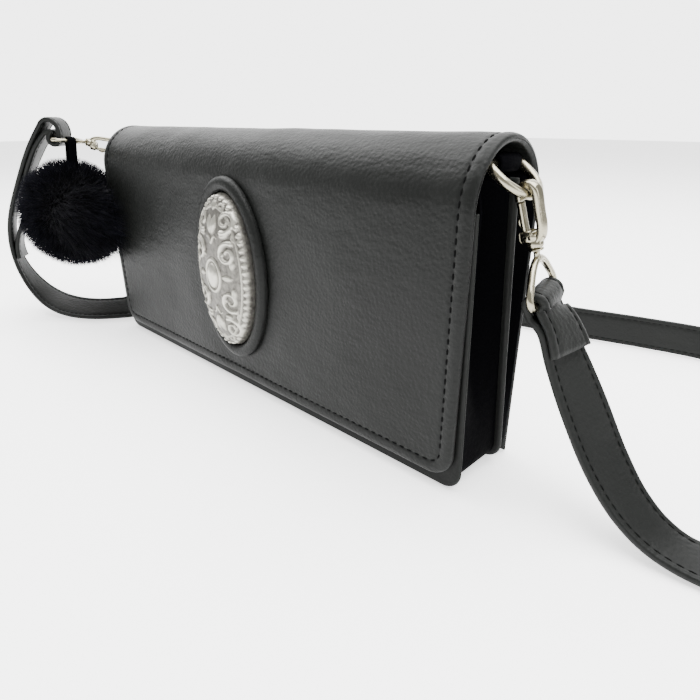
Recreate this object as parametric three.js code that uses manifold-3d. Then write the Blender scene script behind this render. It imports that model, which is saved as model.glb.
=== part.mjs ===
// Flap-over shoulder bag of dark grey leather with a two-pocket accordion body, two swivel snap
// hooks, a full-length shoulder strap, an oval silver medallion and a hanging fur pompom.
// Millimetres, +Z up. The origin is on the ground under the middle of the front pocket's floor;
// +X runs along the bag to its right end and the flap faces -Y.
import * as THREE from 'three';
import { mergeVertices } from 'three/addons/utils/BufferGeometryUtils.js';
import Module from 'manifold-3d';

const wasm = await Module();
wasm.setup();

// ---------------------------------------------------------------- driving dimensions
const GAP = 0.3;

const BAG_WIDTH = 270;
const BAG_DEPTH = 45;
const BAG_HEIGHT = 130.7;
const ARCH_RISE = 24;
const WRAP_THICKNESS = 3;
const WRAP_FOOT_Z = 0.2;
const FLAP_EDGE_Z = 6;
const FLAP_CORNER = 11;
const EDGE_ROLL = 0.8;

const PANEL_HALF_WIDTH = 137.4;
const FRONT_PANEL_TOP_HALF_WIDTH = 134.6;
const PANEL_THICKNESS = 2.5;
const PANEL_TOP = 107;
const PANEL_CORNER = 8;
const PANEL_FOOT_Z = 0.1;
const PANEL_CORNER_STEPS = 6;

const DIVIDER_TOP = 117.2;
const DIVIDER_FOOT_Y = 12.5;
const DIVIDER_LEAN = 0.105;
const DIVIDER_FOOT_Z = 0.2;

const GUSSET_HALF_WIDTH = 134.9;
const GUSSET_THICKNESS = 1.6;
const GUSSET_CORNER = 9;
const GUSSET_MID_TOP = 117.2;
const GUSSET_SLACK = 0.05;
const FRONT_FOLD_DEPTH = 12;
const REAR_FOLD_DEPTH = 10;
const FOLD_RISE = 75;

const RING_WIRE = 1.6;
const RING_HALF_BAR = 10.5;
const RING_LEG = 5;
const RING_ARC = 10;
const RIGHT_BAR_X = 131.5;
const LEFT_BAR_X = -138.5;
const RING_BAR_Z = 121.4;
const TAB_WIDTH = 13;
const TAB_LEATHER = 1.2;
const TAB_TONGUE = 16;
const TAB_SLACK = 0.1;
const TAB_SHOULDER = 0.8;

const HOOK_RADIUS = 3.4;
const GRIP_SLACK = 0.6;
const HOOK_HALF_IN = 1.3;
const HOOK_HALF_OUT = 1.9;
const HOOK_CHAMFER = 0.9;
const TIP_Z = -1.8;
const PIN_X = -2.8;
const PIN_Z = -13.1;
const PIN_RADIUS = 0.7;
const PIN_LENGTH = 4.8;
const KNUCKLE_RADIUS = 1.5;
const KNUCKLE_WIDTH = 2.8;
const CHEEK_WIDTH = 5.2;
const CHEEK_LENGTH = 4.8;
const CHEEK_HEIGHT = 3.6;
const THUMB_Z = -8.6;
const BARREL_RADIUS = 2.7;
const BARREL_TOP = -12.6;
const BARREL_FOOT = -17.4;
const BORE_DEPTH = 1.6;
const POST_RADIUS = 1.1;
const COLLAR_RADIUS = 2.5;
const COLLAR_TOP = -17.7;
const COLLAR_FOOT = -18.4;
const EYE_WIRE = 1.3;
const EYE_TOP = -21.6;
const EYE_BAR = -35.2;

const STRAP_WIDTH = 20;
const STRAP_THICKNESS = 2.8;
const STRAP_EDGE = 0.8;
const STRAP_STEP = 14;
const ARCH_LENGTH = 52;
const ARCH_STEP = 3.6;
const RIGHT_TAIL = 21;
const LEFT_TAIL = 128;
const LEFT_TAIL_BOW = 5;
const TAIL_MERGE = 11;
const WRAP_SLACK = 0.15;

const MEDALLION_Z = 64.5;
const MEDALLION_HALF_WIDTH = 21;
const MEDALLION_HALF_HEIGHT = 38.5;
const MEDALLION_RIM = 2.4;
const MEDALLION_DOME = 8.6;
const BEAD_COUNT = 20;
const BEAD_RADIUS = 1.5;
const BEAD_INSET = 1.7;
const BEZEL_WIDTH = 7;
const BEZEL_HEIGHT = 3.6;
const BEZEL_WALL = 0.9;
const BEZEL_CROWN_SHARE = 0.55;

const POMPOM_CENTRE = new THREE.Vector3(-169.5, -32.5, 75.8);
const POMPOM_CORE = 27;
const POMPOM_LOCKS = 32;
const POMPOM_LOCK_TIP = 34;
const LOCK_HALF_WIDTH = 7.1;
const LOCK_ROOT = 9;
const LOCK_UNEVENNESS = 1.6;
const LOOP_WIDTH = 5;
const LOOP_LEATHER = 0.9;
const LOOP_SLACK = 0.3;
const LOOP_SOCKET = 8;
const SOCKET_RADIUS = 5.2;

// ---------------------------------------------------------------- colours
const LEATHER_GREY = { color: 0x3c3d40, roughness: 0.52, metalness: 0 };
const LEATHER_EDGE = { color: 0x2c2d2f, roughness: 0.6, metalness: 0 };
const LEATHER_BLACK = { color: 0x0b0b0d, roughness: 0.62, metalness: 0 };
const NICKEL = { color: 0xb9b4a6, roughness: 0.24, metalness: 1 };
const SILVER = { color: 0xb4afa6, roughness: 0.36, metalness: 1 };
const FUR_BLACK = { color: 0x0c0d12, roughness: 0.95, metalness: 0 };

// ---------------------------------------------------------------- small maths
const X_AXIS = new THREE.Vector3(1, 0, 0);
const Y_AXIS = new THREE.Vector3(0, 1, 0);
const Z_AXIS = new THREE.Vector3(0, 0, 1);

function vec(x, y, z) {
  return new THREE.Vector3(x, y, z);
}

function along(origin, direction, distance) {
  return origin.clone().addScaledVector(direction, distance);
}

function perpendicular(vector, axis) {
  return vector.clone().addScaledVector(axis, -vector.dot(axis)).normalize();
}

function smooth(value) {
  const t = THREE.MathUtils.clamp(value, 0, 1);
  return t * t * (3 - 2 * t);
}

function steps(from, to, count) {
  return Array.from({ length: count + 1 }, (_, i) => from + ((to - from) * i) / count);
}

// ---------------------------------------------------------------- closed solids
function closedSolid(points, triangles) {
  let volume = 0;
  for (const [a, b, c] of triangles) {
    volume += points[a].dot(points[b].clone().cross(points[c]));
  }
  const faces = volume < 0 ? triangles.map(([a, b, c]) => [a, c, b]) : triangles;
  const geometry = new THREE.BufferGeometry();
  const positions = new Float32Array(points.flatMap((p) => [p.x, p.y, p.z]));
  geometry.setAttribute('position', new THREE.BufferAttribute(positions, 3));
  geometry.setIndex(faces.flat());
  return geometry;
}

// A sheet with thickness: two point grids of the same layout, joined round their border.
function sheetSolid(outer, inner) {
  const rows = outer.length;
  const columns = outer[0].length;
  const points = [...outer.flat(), ...inner.flat()];
  const layer = rows * columns;
  const triangles = [];
  const quad = (a, b, c, d) => triangles.push([a, b, c], [a, c, d]);
  for (let i = 0; i + 1 < rows; i += 1) {
    for (let j = 0; j + 1 < columns; j += 1) {
      const a = i * columns + j;
      quad(a, a + 1, a + columns + 1, a + columns);
      quad(layer + a, layer + a + columns, layer + a + columns + 1, layer + a + 1);
    }
  }
  const border = [];
  for (let j = 0; j < columns; j += 1) border.push(j);
  for (let i = 1; i < rows; i += 1) border.push(i * columns + columns - 1);
  for (let j = columns - 2; j >= 0; j -= 1) border.push((rows - 1) * columns + j);
  for (let i = rows - 2; i > 0; i -= 1) border.push(i * columns);
  border.forEach((a, k) => {
    const b = border[(k + 1) % border.length];
    quad(a, layer + a, layer + b, b);
  });
  return closedSolid(points, triangles);
}

// A section of [u, v] pairs carried along frames of { point, u, v }.
function sweepSolid(frames, section, closed = false) {
  const sides = section.length;
  const points = frames.flatMap((frame) =>
    section.map(([a, b]) => frame.point.clone().addScaledVector(frame.u, a).addScaledVector(frame.v, b)));
  const triangles = [];
  const spans = closed ? frames.length : frames.length - 1;
  for (let i = 0; i < spans; i += 1) {
    const here = i * sides;
    const next = ((i + 1) % frames.length) * sides;
    for (let j = 0; j < sides; j += 1) {
      const k = (j + 1) % sides;
      triangles.push([here + j, here + k, next + k], [here + j, next + k, next + j]);
    }
  }
  if (!closed) {
    const last = (frames.length - 1) * sides;
    for (let j = 1; j + 1 < sides; j += 1) {
      triangles.push([0, j + 1, j], [last, last + j, last + j + 1]);
    }
  }
  return closedSolid(points, triangles);
}

function roundSection(halfU, halfV, sides) {
  return steps(0, 2 * Math.PI, sides).slice(0, sides)
    .map((angle) => [halfU * Math.cos(angle), halfV * Math.sin(angle)]);
}

function chamferSection(halfU, halfV, chamfer) {
  return [
    [halfU, halfV - chamfer], [halfU - chamfer, halfV], [chamfer - halfU, halfV],
    [-halfU, halfV - chamfer], [-halfU, chamfer - halfV], [chamfer - halfU, -halfV],
    [halfU - chamfer, -halfV], [halfU, chamfer - halfV],
  ];
}

// Frames along a path that stays in a plane: u points sideways in the plane, v is its normal.
function planarFrames(points, normal, closed = false) {
  return points.map((point, i) => {
    const count = points.length;
    const before = closed ? points[(i + count - 1) % count] : points[Math.max(i - 1, 0)];
    const after = closed ? points[(i + 1) % count] : points[Math.min(i + 1, count - 1)];
    const tangent = after.clone().sub(before).normalize();
    return { point, u: tangent.clone().cross(normal).normalize(), v: normal };
  });
}

function cylinderAlong(axis, centre, radius, length, sides) {
  const geometry = new THREE.CylinderGeometry(radius, radius, length, sides);
  const turn = new THREE.Quaternion().setFromUnitVectors(Y_AXIS, axis);
  geometry.applyQuaternion(turn);
  return geometry.translate(centre.x, centre.y, centre.z);
}

function boxAt(centre, size) {
  return new THREE.BoxGeometry(size.x, size.y, size.z).translate(centre.x, centre.y, centre.z);
}

function toManifold(geometry) {
  const bare = geometry.clone();
  bare.deleteAttribute('normal');
  bare.deleteAttribute('uv');
  const merged = mergeVertices(bare, 1e-4);
  const mesh = new wasm.Mesh({
    numProp: 3,
    vertProperties: new Float32Array(merged.attributes.position.array),
    triVerts: new Uint32Array(merged.index.array),
  });
  return new wasm.Manifold(mesh);
}

function fromManifold(solid) {
  const mesh = solid.getMesh();
  const geometry = new THREE.BufferGeometry();
  geometry.setAttribute('position', new THREE.BufferAttribute(mesh.vertProperties, 3));
  geometry.setIndex(new THREE.BufferAttribute(mesh.triVerts, 1));
  return geometry;
}

function joinAndCut(joined, cut = []) {
  let solid = toManifold(joined[0]);
  for (const geometry of joined.slice(1)) solid = solid.add(toManifold(geometry));
  for (const geometry of cut) solid = solid.subtract(toManifold(geometry));
  return fromManifold(solid);
}

// ---------------------------------------------------------------- scene graph
const bag = new THREE.Group();

function addMesh(parent, name, geometry, look) {
  geometry.computeVertexNormals();
  const mesh = new THREE.Mesh(geometry, new THREE.MeshStandardMaterial(look));
  mesh.name = name;
  parent.add(mesh);
  return mesh;
}

// ---------------------------------------------------------------- wrap: back, top and flap
function wrapRows() {
  const halfDepth = BAG_DEPTH / 2;
  const springZ = BAG_HEIGHT - ARCH_RISE;
  const rows = [];
  for (const z of [WRAP_FOOT_Z, 3, 35, 70, springZ]) {
    rows.push({ y: halfDepth, z, innerY: halfDepth - WRAP_THICKNESS, innerZ: z });
  }
  for (const angle of steps(0, Math.PI, 16).slice(1)) {
    rows.push({
      y: halfDepth * Math.cos(angle),
      z: springZ + ARCH_RISE * Math.sin(angle),
      innerY: (halfDepth - WRAP_THICKNESS) * Math.cos(angle),
      innerZ: springZ + (ARCH_RISE - WRAP_THICKNESS) * Math.sin(angle),
    });
  }
  const cornerRises = [1, 0.66, 0.4, 0.2, 0.07, 0];
  const frontHeights = [85, 60, 38, ...cornerRises.map((r) => FLAP_EDGE_Z + FLAP_CORNER * r)];
  for (const z of frontHeights) {
    rows.push({ y: -halfDepth, z, innerY: WRAP_THICKNESS - halfDepth, innerZ: z, front: true });
  }
  return rows;
}

function wrapGeometry() {
  const columnShares = [-1, -0.985, -0.5, 0, 0.5, 0.985, 1];
  const outer = [];
  const inner = [];
  for (const row of wrapRows()) {
    let halfWidth = BAG_WIDTH / 2;
    const rise = row.front ? Math.min(row.z - FLAP_EDGE_Z, FLAP_CORNER) : FLAP_CORNER;
    halfWidth += Math.sqrt(FLAP_CORNER ** 2 - (FLAP_CORNER - rise) ** 2) - FLAP_CORNER;
    const roll = (share) => (Math.abs(share) === 1 || rise === 0 ? EDGE_ROLL / WRAP_THICKNESS : 0);
    outer.push(columnShares.map((share) => vec(
      share * halfWidth,
      THREE.MathUtils.lerp(row.y, row.innerY, roll(share)),
      THREE.MathUtils.lerp(row.z, row.innerZ, roll(share)),
    )));
    inner.push(columnShares.map((share) => vec(share * halfWidth, row.innerY, row.innerZ)));
  }
  return sheetSolid(outer, inner);
}

addMesh(bag, 'flap_and_back', wrapGeometry(), LEATHER_GREY);

// ---------------------------------------------------------------- front panel and divider
// A wall of the body: rounded lower corners, and sides that may draw in towards the top.
function uprightPanel(topZ, topHalfWidth) {
  const side = PANEL_HALF_WIDTH;
  const corner = PANEL_CORNER;
  const bendZ = PANEL_FOOT_Z + corner;
  const outline = new THREE.Shape();
  outline.moveTo(-topHalfWidth, topZ);
  outline.lineTo(-side, bendZ);
  outline.absarc(corner - side, bendZ, corner, Math.PI, 1.5 * Math.PI, false);
  outline.lineTo(side - corner, PANEL_FOOT_Z);
  outline.absarc(side - corner, bendZ, corner, 1.5 * Math.PI, 2 * Math.PI, false);
  outline.lineTo(topHalfWidth, topZ);
  outline.closePath();
  const slab = { depth: PANEL_THICKNESS, bevelEnabled: false, curveSegments: PANEL_CORNER_STEPS };
  return new THREE.ExtrudeGeometry(outline, slab).rotateX(Math.PI / 2);
}

const frontPanelY = WRAP_THICKNESS - BAG_DEPTH / 2 + GAP;
const frontPanel = uprightPanel(PANEL_TOP, FRONT_PANEL_TOP_HALF_WIDTH);
frontPanel.translate(0, frontPanelY + PANEL_THICKNESS, 0);
addMesh(bag, 'front_panel', frontPanel, LEATHER_GREY);

function dividerY(z) {
  return DIVIDER_FOOT_Y - DIVIDER_LEAN * z;
}

const dividerPanel = uprightPanel(DIVIDER_TOP, PANEL_HALF_WIDTH).rotateX(Math.atan(DIVIDER_LEAN));
dividerPanel.translate(0, DIVIDER_FOOT_Y + PANEL_THICKNESS / 2, DIVIDER_FOOT_Z);
addMesh(bag, 'divider_panel', dividerPanel, LEATHER_EDGE);

// ---------------------------------------------------------------- gussets
// Each gusset is one strip that runs down one end, along the floor and up the other end. It is
// folded inwards along its middle at the ends and lies flat along the floor.
function gussetStations() {
  const stations = [];
  const wall = steps(0, 1, 5).map((share) => ({ side: -1, share }));
  const corner = steps(0, Math.PI / 2, 4).slice(1);
  stations.push(...wall);
  for (const angle of corner) stations.push({ side: -1, angle });
  for (const x of steps(-1, 1, 4).slice(1, -1)) stations.push({ floor: x });
  for (const angle of corner.toReversed()) stations.push({ side: 1, angle });
  stations.push(...wall.toReversed().map(({ share }) => ({ side: 1, share })));
  return stations;
}

function gussetGeometry(frontY, rearY, foldDepth, frontTop, rearTop) {
  const shares = steps(0, 1, 6);
  const outer = [];
  const inner = [];
  const reach = GUSSET_HALF_WIDTH - GUSSET_CORNER;
  for (const station of gussetStations()) {
    const outerRow = [];
    const innerRow = [];
    for (const share of shares) {
      const crease = 1 - Math.abs(2 * share - 1);
      const edgeTop = THREE.MathUtils.lerp(frontTop, rearTop, share);
      const top = THREE.MathUtils.lerp(edgeTop, GUSSET_MID_TOP, Math.min(1, 3 * crease));
      let centre;
      let inward;
      if (station.share !== undefined) {
        const z = THREE.MathUtils.lerp(top, GUSSET_CORNER, station.share);
        centre = vec(station.side * GUSSET_HALF_WIDTH, 0, z);
        inward = vec(-station.side, 0, 0);
      } else if (station.angle !== undefined) {
        inward = vec(-station.side * Math.cos(station.angle), 0, Math.sin(station.angle));
        centre = vec(station.side * reach, 0, GUSSET_CORNER).addScaledVector(inward, -GUSSET_CORNER);
      } else {
        centre = vec(station.floor * reach, 0, 0);
        inward = Z_AXIS;
      }
      const fold = foldDepth * smooth((centre.z - GUSSET_CORNER) / FOLD_RISE) * crease;
      const y = THREE.MathUtils.lerp(frontY(centre.z), rearY(centre.z), share);
      const skin = along(centre, inward, fold).setY(y);
      outerRow.push(skin);
      innerRow.push(along(skin, inward, GUSSET_THICKNESS));
    }
    outer.push(outerRow);
    inner.push(innerRow);
  }
  return sheetSolid(outer, inner);
}

const halfPanelRun = PANEL_THICKNESS / 2 + GAP + GUSSET_SLACK;
const panelBackY = () => frontPanelY + PANEL_THICKNESS + GAP;
const dividerFrontY = (z) => dividerY(z) - halfPanelRun;
const dividerRearY = (z) => dividerY(z) + halfPanelRun;
const backInnerY = () => BAG_DEPTH / 2 - WRAP_THICKNESS - GAP;

const gussetFront = gussetGeometry(panelBackY, dividerFrontY, FRONT_FOLD_DEPTH, PANEL_TOP, GUSSET_MID_TOP);
addMesh(bag, 'gusset_front', gussetFront, LEATHER_BLACK);
const gussetRear = gussetGeometry(dividerRearY, backInnerY, REAR_FOLD_DEPTH, GUSSET_MID_TOP, PANEL_TOP);
addMesh(bag, 'gusset_rear', gussetRear, LEATHER_BLACK);

// ---------------------------------------------------------------- D-rings and their tabs
// hang is the direction from the ring's straight bar to the end of its bow.
function dRingPath(bar, hang) {
  const points = [];
  for (const y of steps(RING_HALF_BAR - 2, 2 - RING_HALF_BAR, 4)) points.push([y, 0]);
  points.push([0.5 - RING_HALF_BAR, 0.6], [-RING_HALF_BAR, RING_LEG / 2]);
  for (const angle of steps(Math.PI, 0, 14)) {
    points.push([RING_HALF_BAR * Math.cos(angle), RING_LEG + RING_ARC * Math.sin(angle)]);
  }
  points.push([RING_HALF_BAR, RING_LEG / 2], [RING_HALF_BAR - 0.5, 0.6]);
  return points.map(([y, drop]) => along(bar, hang, drop).addScaledVector(Y_AXIS, y));
}

function dRingGeometry(bar, hang) {
  const normal = hang.clone().cross(Y_AXIS).normalize();
  const frames = planarFrames(dRingPath(bar, hang), normal, true);
  return sweepSolid(frames, roundSection(RING_WIRE, RING_WIRE, 8), true);
}

// Leather tab: a loop round the bar with a doubled tongue that lies on the gussets and divider.
function tabGeometry(barX) {
  const boreRadius = RING_WIRE + GAP + TAB_SLACK;
  const outerRadius = RING_WIRE + GAP + TAB_LEATHER;
  const foot = DIVIDER_TOP + GAP + GUSSET_THICKNESS / 6;
  const top = foot + 2 * TAB_LEATHER;
  const tongue = new THREE.Shape();
  tongue.moveTo(0, foot);
  tongue.lineTo(-TAB_TONGUE, foot);
  tongue.lineTo(-TAB_TONGUE, top);
  tongue.lineTo(-RING_WIRE, top + TAB_SHOULDER);
  tongue.lineTo(0, top + TAB_SHOULDER);
  tongue.closePath();
  const slab = new THREE.ExtrudeGeometry(tongue, { depth: TAB_WIDTH, bevelEnabled: false });
  slab.rotateX(Math.PI / 2).translate(0, TAB_WIDTH / 2, 0);
  const hub = vec(0, 0, RING_BAR_Z);
  const loop = cylinderAlong(Y_AXIS, hub, outerRadius, TAB_WIDTH, 14);
  const bore = cylinderAlong(Y_AXIS, hub, boreRadius, TAB_WIDTH + 2, 14);
  const tab = joinAndCut([slab, loop], [bore]);
  if (barX < 0) tab.rotateZ(Math.PI);
  return tab.translate(barX, 0, 0);
}

const rightHang = vec(0.78, 0, -0.626).normalize();
const leftHang = vec(-0.97, 0, -0.24).normalize();
const rightBar = vec(RIGHT_BAR_X, 0, RING_BAR_Z);
const leftBar = vec(LEFT_BAR_X, 0, RING_BAR_Z);
addMesh(bag, 'ring_tab_right', tabGeometry(RIGHT_BAR_X), LEATHER_BLACK);
addMesh(bag, 'ring_tab_left', tabGeometry(LEFT_BAR_X), LEATHER_BLACK);
addMesh(bag, 'd_ring_right', dRingGeometry(rightBar, rightHang), NICKEL);
addMesh(bag, 'd_ring_left', dRingGeometry(leftBar, leftHang), NICKEL);

function ringBowPoint(bar, hang, angle) {
  const drop = RING_LEG + RING_ARC * Math.sin(angle);
  return along(bar, hang, drop).addScaledVector(Y_AXIS, -RING_HALF_BAR * Math.cos(angle));
}

// ---------------------------------------------------------------- swivel snap hooks
// Own frame: +Z towards the crook, +X towards the spine, the gate on the -X side; the origin is
// the centre of the crook's bend.
function hookBodyGeometry() {
  const radius = HOOK_RADIUS;
  const spine = [[0.9, BARREL_TOP - 2.6], [2.5, BARREL_TOP - 1.2], [radius, -10.8], [radius, -5]];
  const bend = steps(0, Math.PI, 10).map((a) => [radius * Math.cos(a), radius * Math.sin(a)]);
  const path = [...spine, ...bend, [-radius, TIP_Z]].map(([x, z]) => vec(x, 0, z));
  const section = chamferSection(HOOK_HALF_IN, HOOK_HALF_OUT, HOOK_CHAMFER);
  const crook = sweepSolid(planarFrames(path, Y_AXIS), section);
  const barrelCentre = vec(0, 0, (BARREL_TOP + BARREL_FOOT) / 2);
  const barrel = cylinderAlong(Z_AXIS, barrelCentre, BARREL_RADIUS, BARREL_TOP - BARREL_FOOT, 12);
  const cheekCentre = vec(PIN_X + CHEEK_LENGTH / 4, 0, PIN_Z - 0.4);
  const cheeks = boxAt(cheekCentre, vec(CHEEK_LENGTH, CHEEK_WIDTH, CHEEK_HEIGHT));
  // The gate's slot is open above and behind the knuckle.
  const slotSize = vec(10, KNUCKLE_WIDTH + 2 * GAP, 8);
  const slotRight = PIN_X + KNUCKLE_RADIUS + GAP;
  const slotFoot = PIN_Z - KNUCKLE_RADIUS - GAP;
  const slot = boxAt(vec(slotRight - slotSize.x / 2, 0, slotFoot + slotSize.z / 2), slotSize);
  const pinHole = cylinderAlong(Y_AXIS, vec(PIN_X, 0, PIN_Z), PIN_RADIUS + GAP, 9, 8);
  const boreWidth = 2 * (POST_RADIUS + GAP);
  const bore = boxAt(vec(0, 0, BARREL_FOOT), vec(boreWidth, boreWidth, 2 * BORE_DEPTH));
  return joinAndCut([crook, barrel, cheeks], [slot, pinHole, bore]);
}

function hookGateGeometry() {
  const hinge = vec(PIN_X, 0, PIN_Z);
  const knuckle = cylinderAlong(Y_AXIS, hinge, KNUCKLE_RADIUS, KNUCKLE_WIDTH, 10);
  const pin = cylinderAlong(Y_AXIS, hinge, PIN_RADIUS, PIN_LENGTH, 8);
  const top = TIP_Z - GAP - 0.1;
  const path = [[PIN_X, PIN_Z], [PIN_X - 0.4, THUMB_Z], [-HOOK_RADIUS, top]].map(([x, z]) => vec(x, 0, z));
  const lever = sweepSolid(planarFrames(path, Y_AXIS), chamferSection(1, KNUCKLE_WIDTH / 2, 0.35));
  const thumb = new THREE.SphereGeometry(1, 8, 6).scale(1.2, 1.4, 2.2).translate(-4.1, 0, THUMB_Z);
  return joinAndCut([knuckle, pin, lever, thumb]);
}

// The swivel's post and collar carry a three-sided eye for the strap, soldered as one piece.
const EYE_HALF_PATH = [
  [2.4, -21.7], [5.6, -23.4], [9.6, -27.4], [12.1, -30.4], [12.8, -32.6], [12.4, -34.4], [10.8, EYE_BAR],
];

function hookSwivelGeometry() {
  const postTop = BARREL_FOOT + BORE_DEPTH - GAP;
  const postCentre = vec(0, 0, (postTop + EYE_TOP) / 2);
  const post = cylinderAlong(Z_AXIS, postCentre, POST_RADIUS, postTop - EYE_TOP, 10);
  const collarCentre = vec(0, 0, (COLLAR_TOP + COLLAR_FOOT) / 2);
  const collar = cylinderAlong(Z_AXIS, collarCentre, COLLAR_RADIUS, COLLAR_TOP - COLLAR_FOOT, 12);
  const half = EYE_HALF_PATH;
  const outline = [[0, EYE_TOP], ...half, [5, EYE_BAR], [0, EYE_BAR], [-5, EYE_BAR]];
  outline.push(...half.toReversed().map(([y, z]) => [-y, z]));
  const path = outline.map(([y, z]) => vec(0, y, z));
  const eye = sweepSolid(planarFrames(path, X_AXIS, true), roundSection(EYE_WIRE, EYE_WIRE, 6), true);
  return joinAndCut([post, collar, eye]);
}

function frameGroup(origin, zAxis, xHint) {
  const xAxis = perpendicular(xHint, zAxis);
  const yAxis = zAxis.clone().cross(xAxis);
  const group = new THREE.Group();
  group.position.copy(origin);
  group.quaternion.setFromRotationMatrix(new THREE.Matrix4().makeBasis(xAxis, yAxis, zAxis));
  bag.add(group);
  return group;
}

// One row per hook: where it grips its D-ring, which way it hangs, and where its spine and the
// strap eye's face look.
const HOOKS = {
  right: {
    grip: ringBowPoint(rightBar, rightHang, 1.3),
    down: vec(7.8, 4.6, -34).normalize(),
    spine: vec(0.965, -0.167, 0.2),
    eyeFace: vec(0.98, 0.17, 0),
  },
  left: {
    grip: ringBowPoint(leftBar, leftHang, 1),
    down: vec(-0.64, -0.76, 0.13).normalize(),
    spine: vec(0, 0, 1),
    eyeFace: vec(0, 0, 1),
  },
};

const gripOffset = HOOK_RADIUS - HOOK_HALF_IN - RING_WIRE - GRIP_SLACK;
for (const [side, hook] of Object.entries(HOOKS)) {
  const up = hook.down.clone().negate();
  const origin = along(hook.grip, hook.down, gripOffset);
  hook.origin = origin;
  hook.bar = along(origin, hook.down, -EYE_BAR);
  const hookFrame = frameGroup(origin, up, hook.spine);
  addMesh(hookFrame, `hook_body_${side}`, hookBodyGeometry(), NICKEL);
  addMesh(hookFrame, `hook_gate_${side}`, hookGateGeometry(), NICKEL);
  const swivelFrame = frameGroup(origin, up, hook.eyeFace);
  hook.eyeWidth = perpendicular(hook.eyeFace, up).cross(hook.down).normalize();
  hook.eyePoint = (y, z) => vec(0, y, z).applyQuaternion(swivelFrame.quaternion).add(origin);
  addMesh(swivelFrame, `hook_swivel_${side}`, hookSwivelGeometry(), NICKEL);
}

// ---------------------------------------------------------------- strap
// Stations of the strap's middle line between the two strap eyes, with the direction of its
// width: level across at the ends of the run, upright where it stands on edge behind the bag.
const STRAP_ROUTE = [
  { x: 155.3, y: 2, z: 69.8, wx: 0, wy: 0.99, wz: 0.05 },
  { x: 161.8, y: 2.2, z: 58.6, wx: 0.2, wy: 0.97, wz: 0.1 },
  { x: 170.4, y: 2, z: 43.8, wx: 0.32, wy: 0.93, wz: 0.16 },
  { x: 181.4, y: 2, z: 25.6, wx: 0.3, wy: 0.94, wz: 0.14 },
  { x: 191.4, y: 2, z: 13.4, wx: 0.2, wy: 0.97, wz: 0.1 },
  { x: 201.2, y: 2.2, z: 6.2, wx: 0.1, wy: 0.99, wz: 0.04 },
  { x: 212, y: 3, z: 2.7, wx: 0, wy: 1, wz: 0 },
  { x: 226, y: 5, z: 3.3, wx: -0.05, wy: 0.98, wz: 0.15 },
  { x: 243, y: 8.5, z: 7.2, wx: -0.15, wy: 0.8, wz: 0.55 },
  { x: 262, y: 15, z: 10.1, wx: -0.1, wy: 0.4, wz: 0.9 },
  { x: 284, y: 28, z: 10.4, wx: 0, wy: 0, wz: 1 },
  { x: 302, y: 52, z: 10.4, wx: 0, wy: 0, wz: 1 },
  { x: 309, y: 84, z: 10.4, wx: 0, wy: 0, wz: 1 },
  { x: 303, y: 117, z: 10.4, wx: 0, wy: 0, wz: 1 },
  { x: 284, y: 148, z: 10.4, wx: 0, wy: 0, wz: 1 },
  { x: 254, y: 174, z: 10.4, wx: 0, wy: 0, wz: 1 },
  { x: 214, y: 189, z: 10.4, wx: 0, wy: 0, wz: 1 },
  { x: 172, y: 192, z: 10.4, wx: 0, wy: 0, wz: 1 },
  { x: 138, y: 186, z: 10.4, wx: 0, wy: 0, wz: 1 },
  { x: 104, y: 177, z: 10.4, wx: 0, wy: 0, wz: 1 },
  { x: 60, y: 167, z: 10.4, wx: 0, wy: 0, wz: 1 },
  { x: 10, y: 155, z: 10.4, wx: 0, wy: 0, wz: 1 },
  { x: -40, y: 134, z: 10.4, wx: 0, wy: 0, wz: 1 },
  { x: -85, y: 104, z: 10.4, wx: 0, wy: 0, wz: 1 },
  { x: -122, y: 68, z: 10.4, wx: -0.05, wy: 0.05, wz: 1 },
  { x: -143, y: 34, z: 10.1, wx: -0.3, wy: 0.2, wz: 0.9 },
  { x: -152, y: 4, z: 8, wx: -0.62, wy: 0.4, wz: 0.6 },
  { x: -159.5, y: -21, z: 6.4, wx: -0.62, wy: 0.62, wz: 0.45 },
  { x: -176, y: -37.5, z: 6.3, wx: -0.56, wy: 0.66, wz: 0.45 },
  { x: -196, y: -46.5, z: 7.7, wx: -0.6, wy: 0.66, wz: 0.35 },
  { x: -211, y: -51, z: 13.6, wx: -0.66, wy: 0.7, wz: 0.2 },
  { x: -219, y: -56.5, z: 24, wx: -0.76, wy: 0.62, wz: 0.05 },
  { x: -223.2, y: -60.2, z: 37, wx: -0.85, wy: 0.5, wz: 0 },
  { x: -224.6, y: -61.5, z: 53, wx: -0.9, wy: 0.43, wz: 0 },
  { x: -217.9, y: -58.7, z: 72.4, wx: -0.9, wy: 0.43, wz: 0 },
  { x: -206, y: -53.9, z: 89.9, wx: -0.88, wy: 0.48, wz: 0 },
  { x: -196.5, y: -48, z: 106.7, wx: -0.84, wy: 0.54, wz: 0 },
  { x: -189.2, y: -45.3, z: 116.3, wx: -0.81, wy: 0.58, wz: 0 },
  { x: -183.2, y: -43.1, z: 122.4, wx: -0.79, wy: 0.61, wz: 0 },
  { x: -181.1, y: -40.9, z: 127.1, wx: -0.78, wy: 0.63, wz: 0 },
  { x: -178.5, y: -37.8, z: 131.7, wx: -0.77, wy: 0.64, wz: 0 },
  { x: -175.3, y: -34, z: 134.5, wx: -0.765, wy: 0.644, wz: 0 },
  { x: -172.5, y: -30.6, z: 132.3, wx: -0.765, wy: 0.644, wz: 0 },
];
const RIGHT_PULL = vec(0.5, 0, -0.85);
const RIGHT_SIDE = vec(-0.9, 0.35, -0.5);
const LEFT_PULL = vec(0.1, 0.09, 0.99);
const WRAP_RADIUS = EYE_WIRE + GAP + WRAP_SLACK + STRAP_THICKNESS / 2;
const LAYER_PITCH = STRAP_THICKNESS + GAP;

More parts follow.
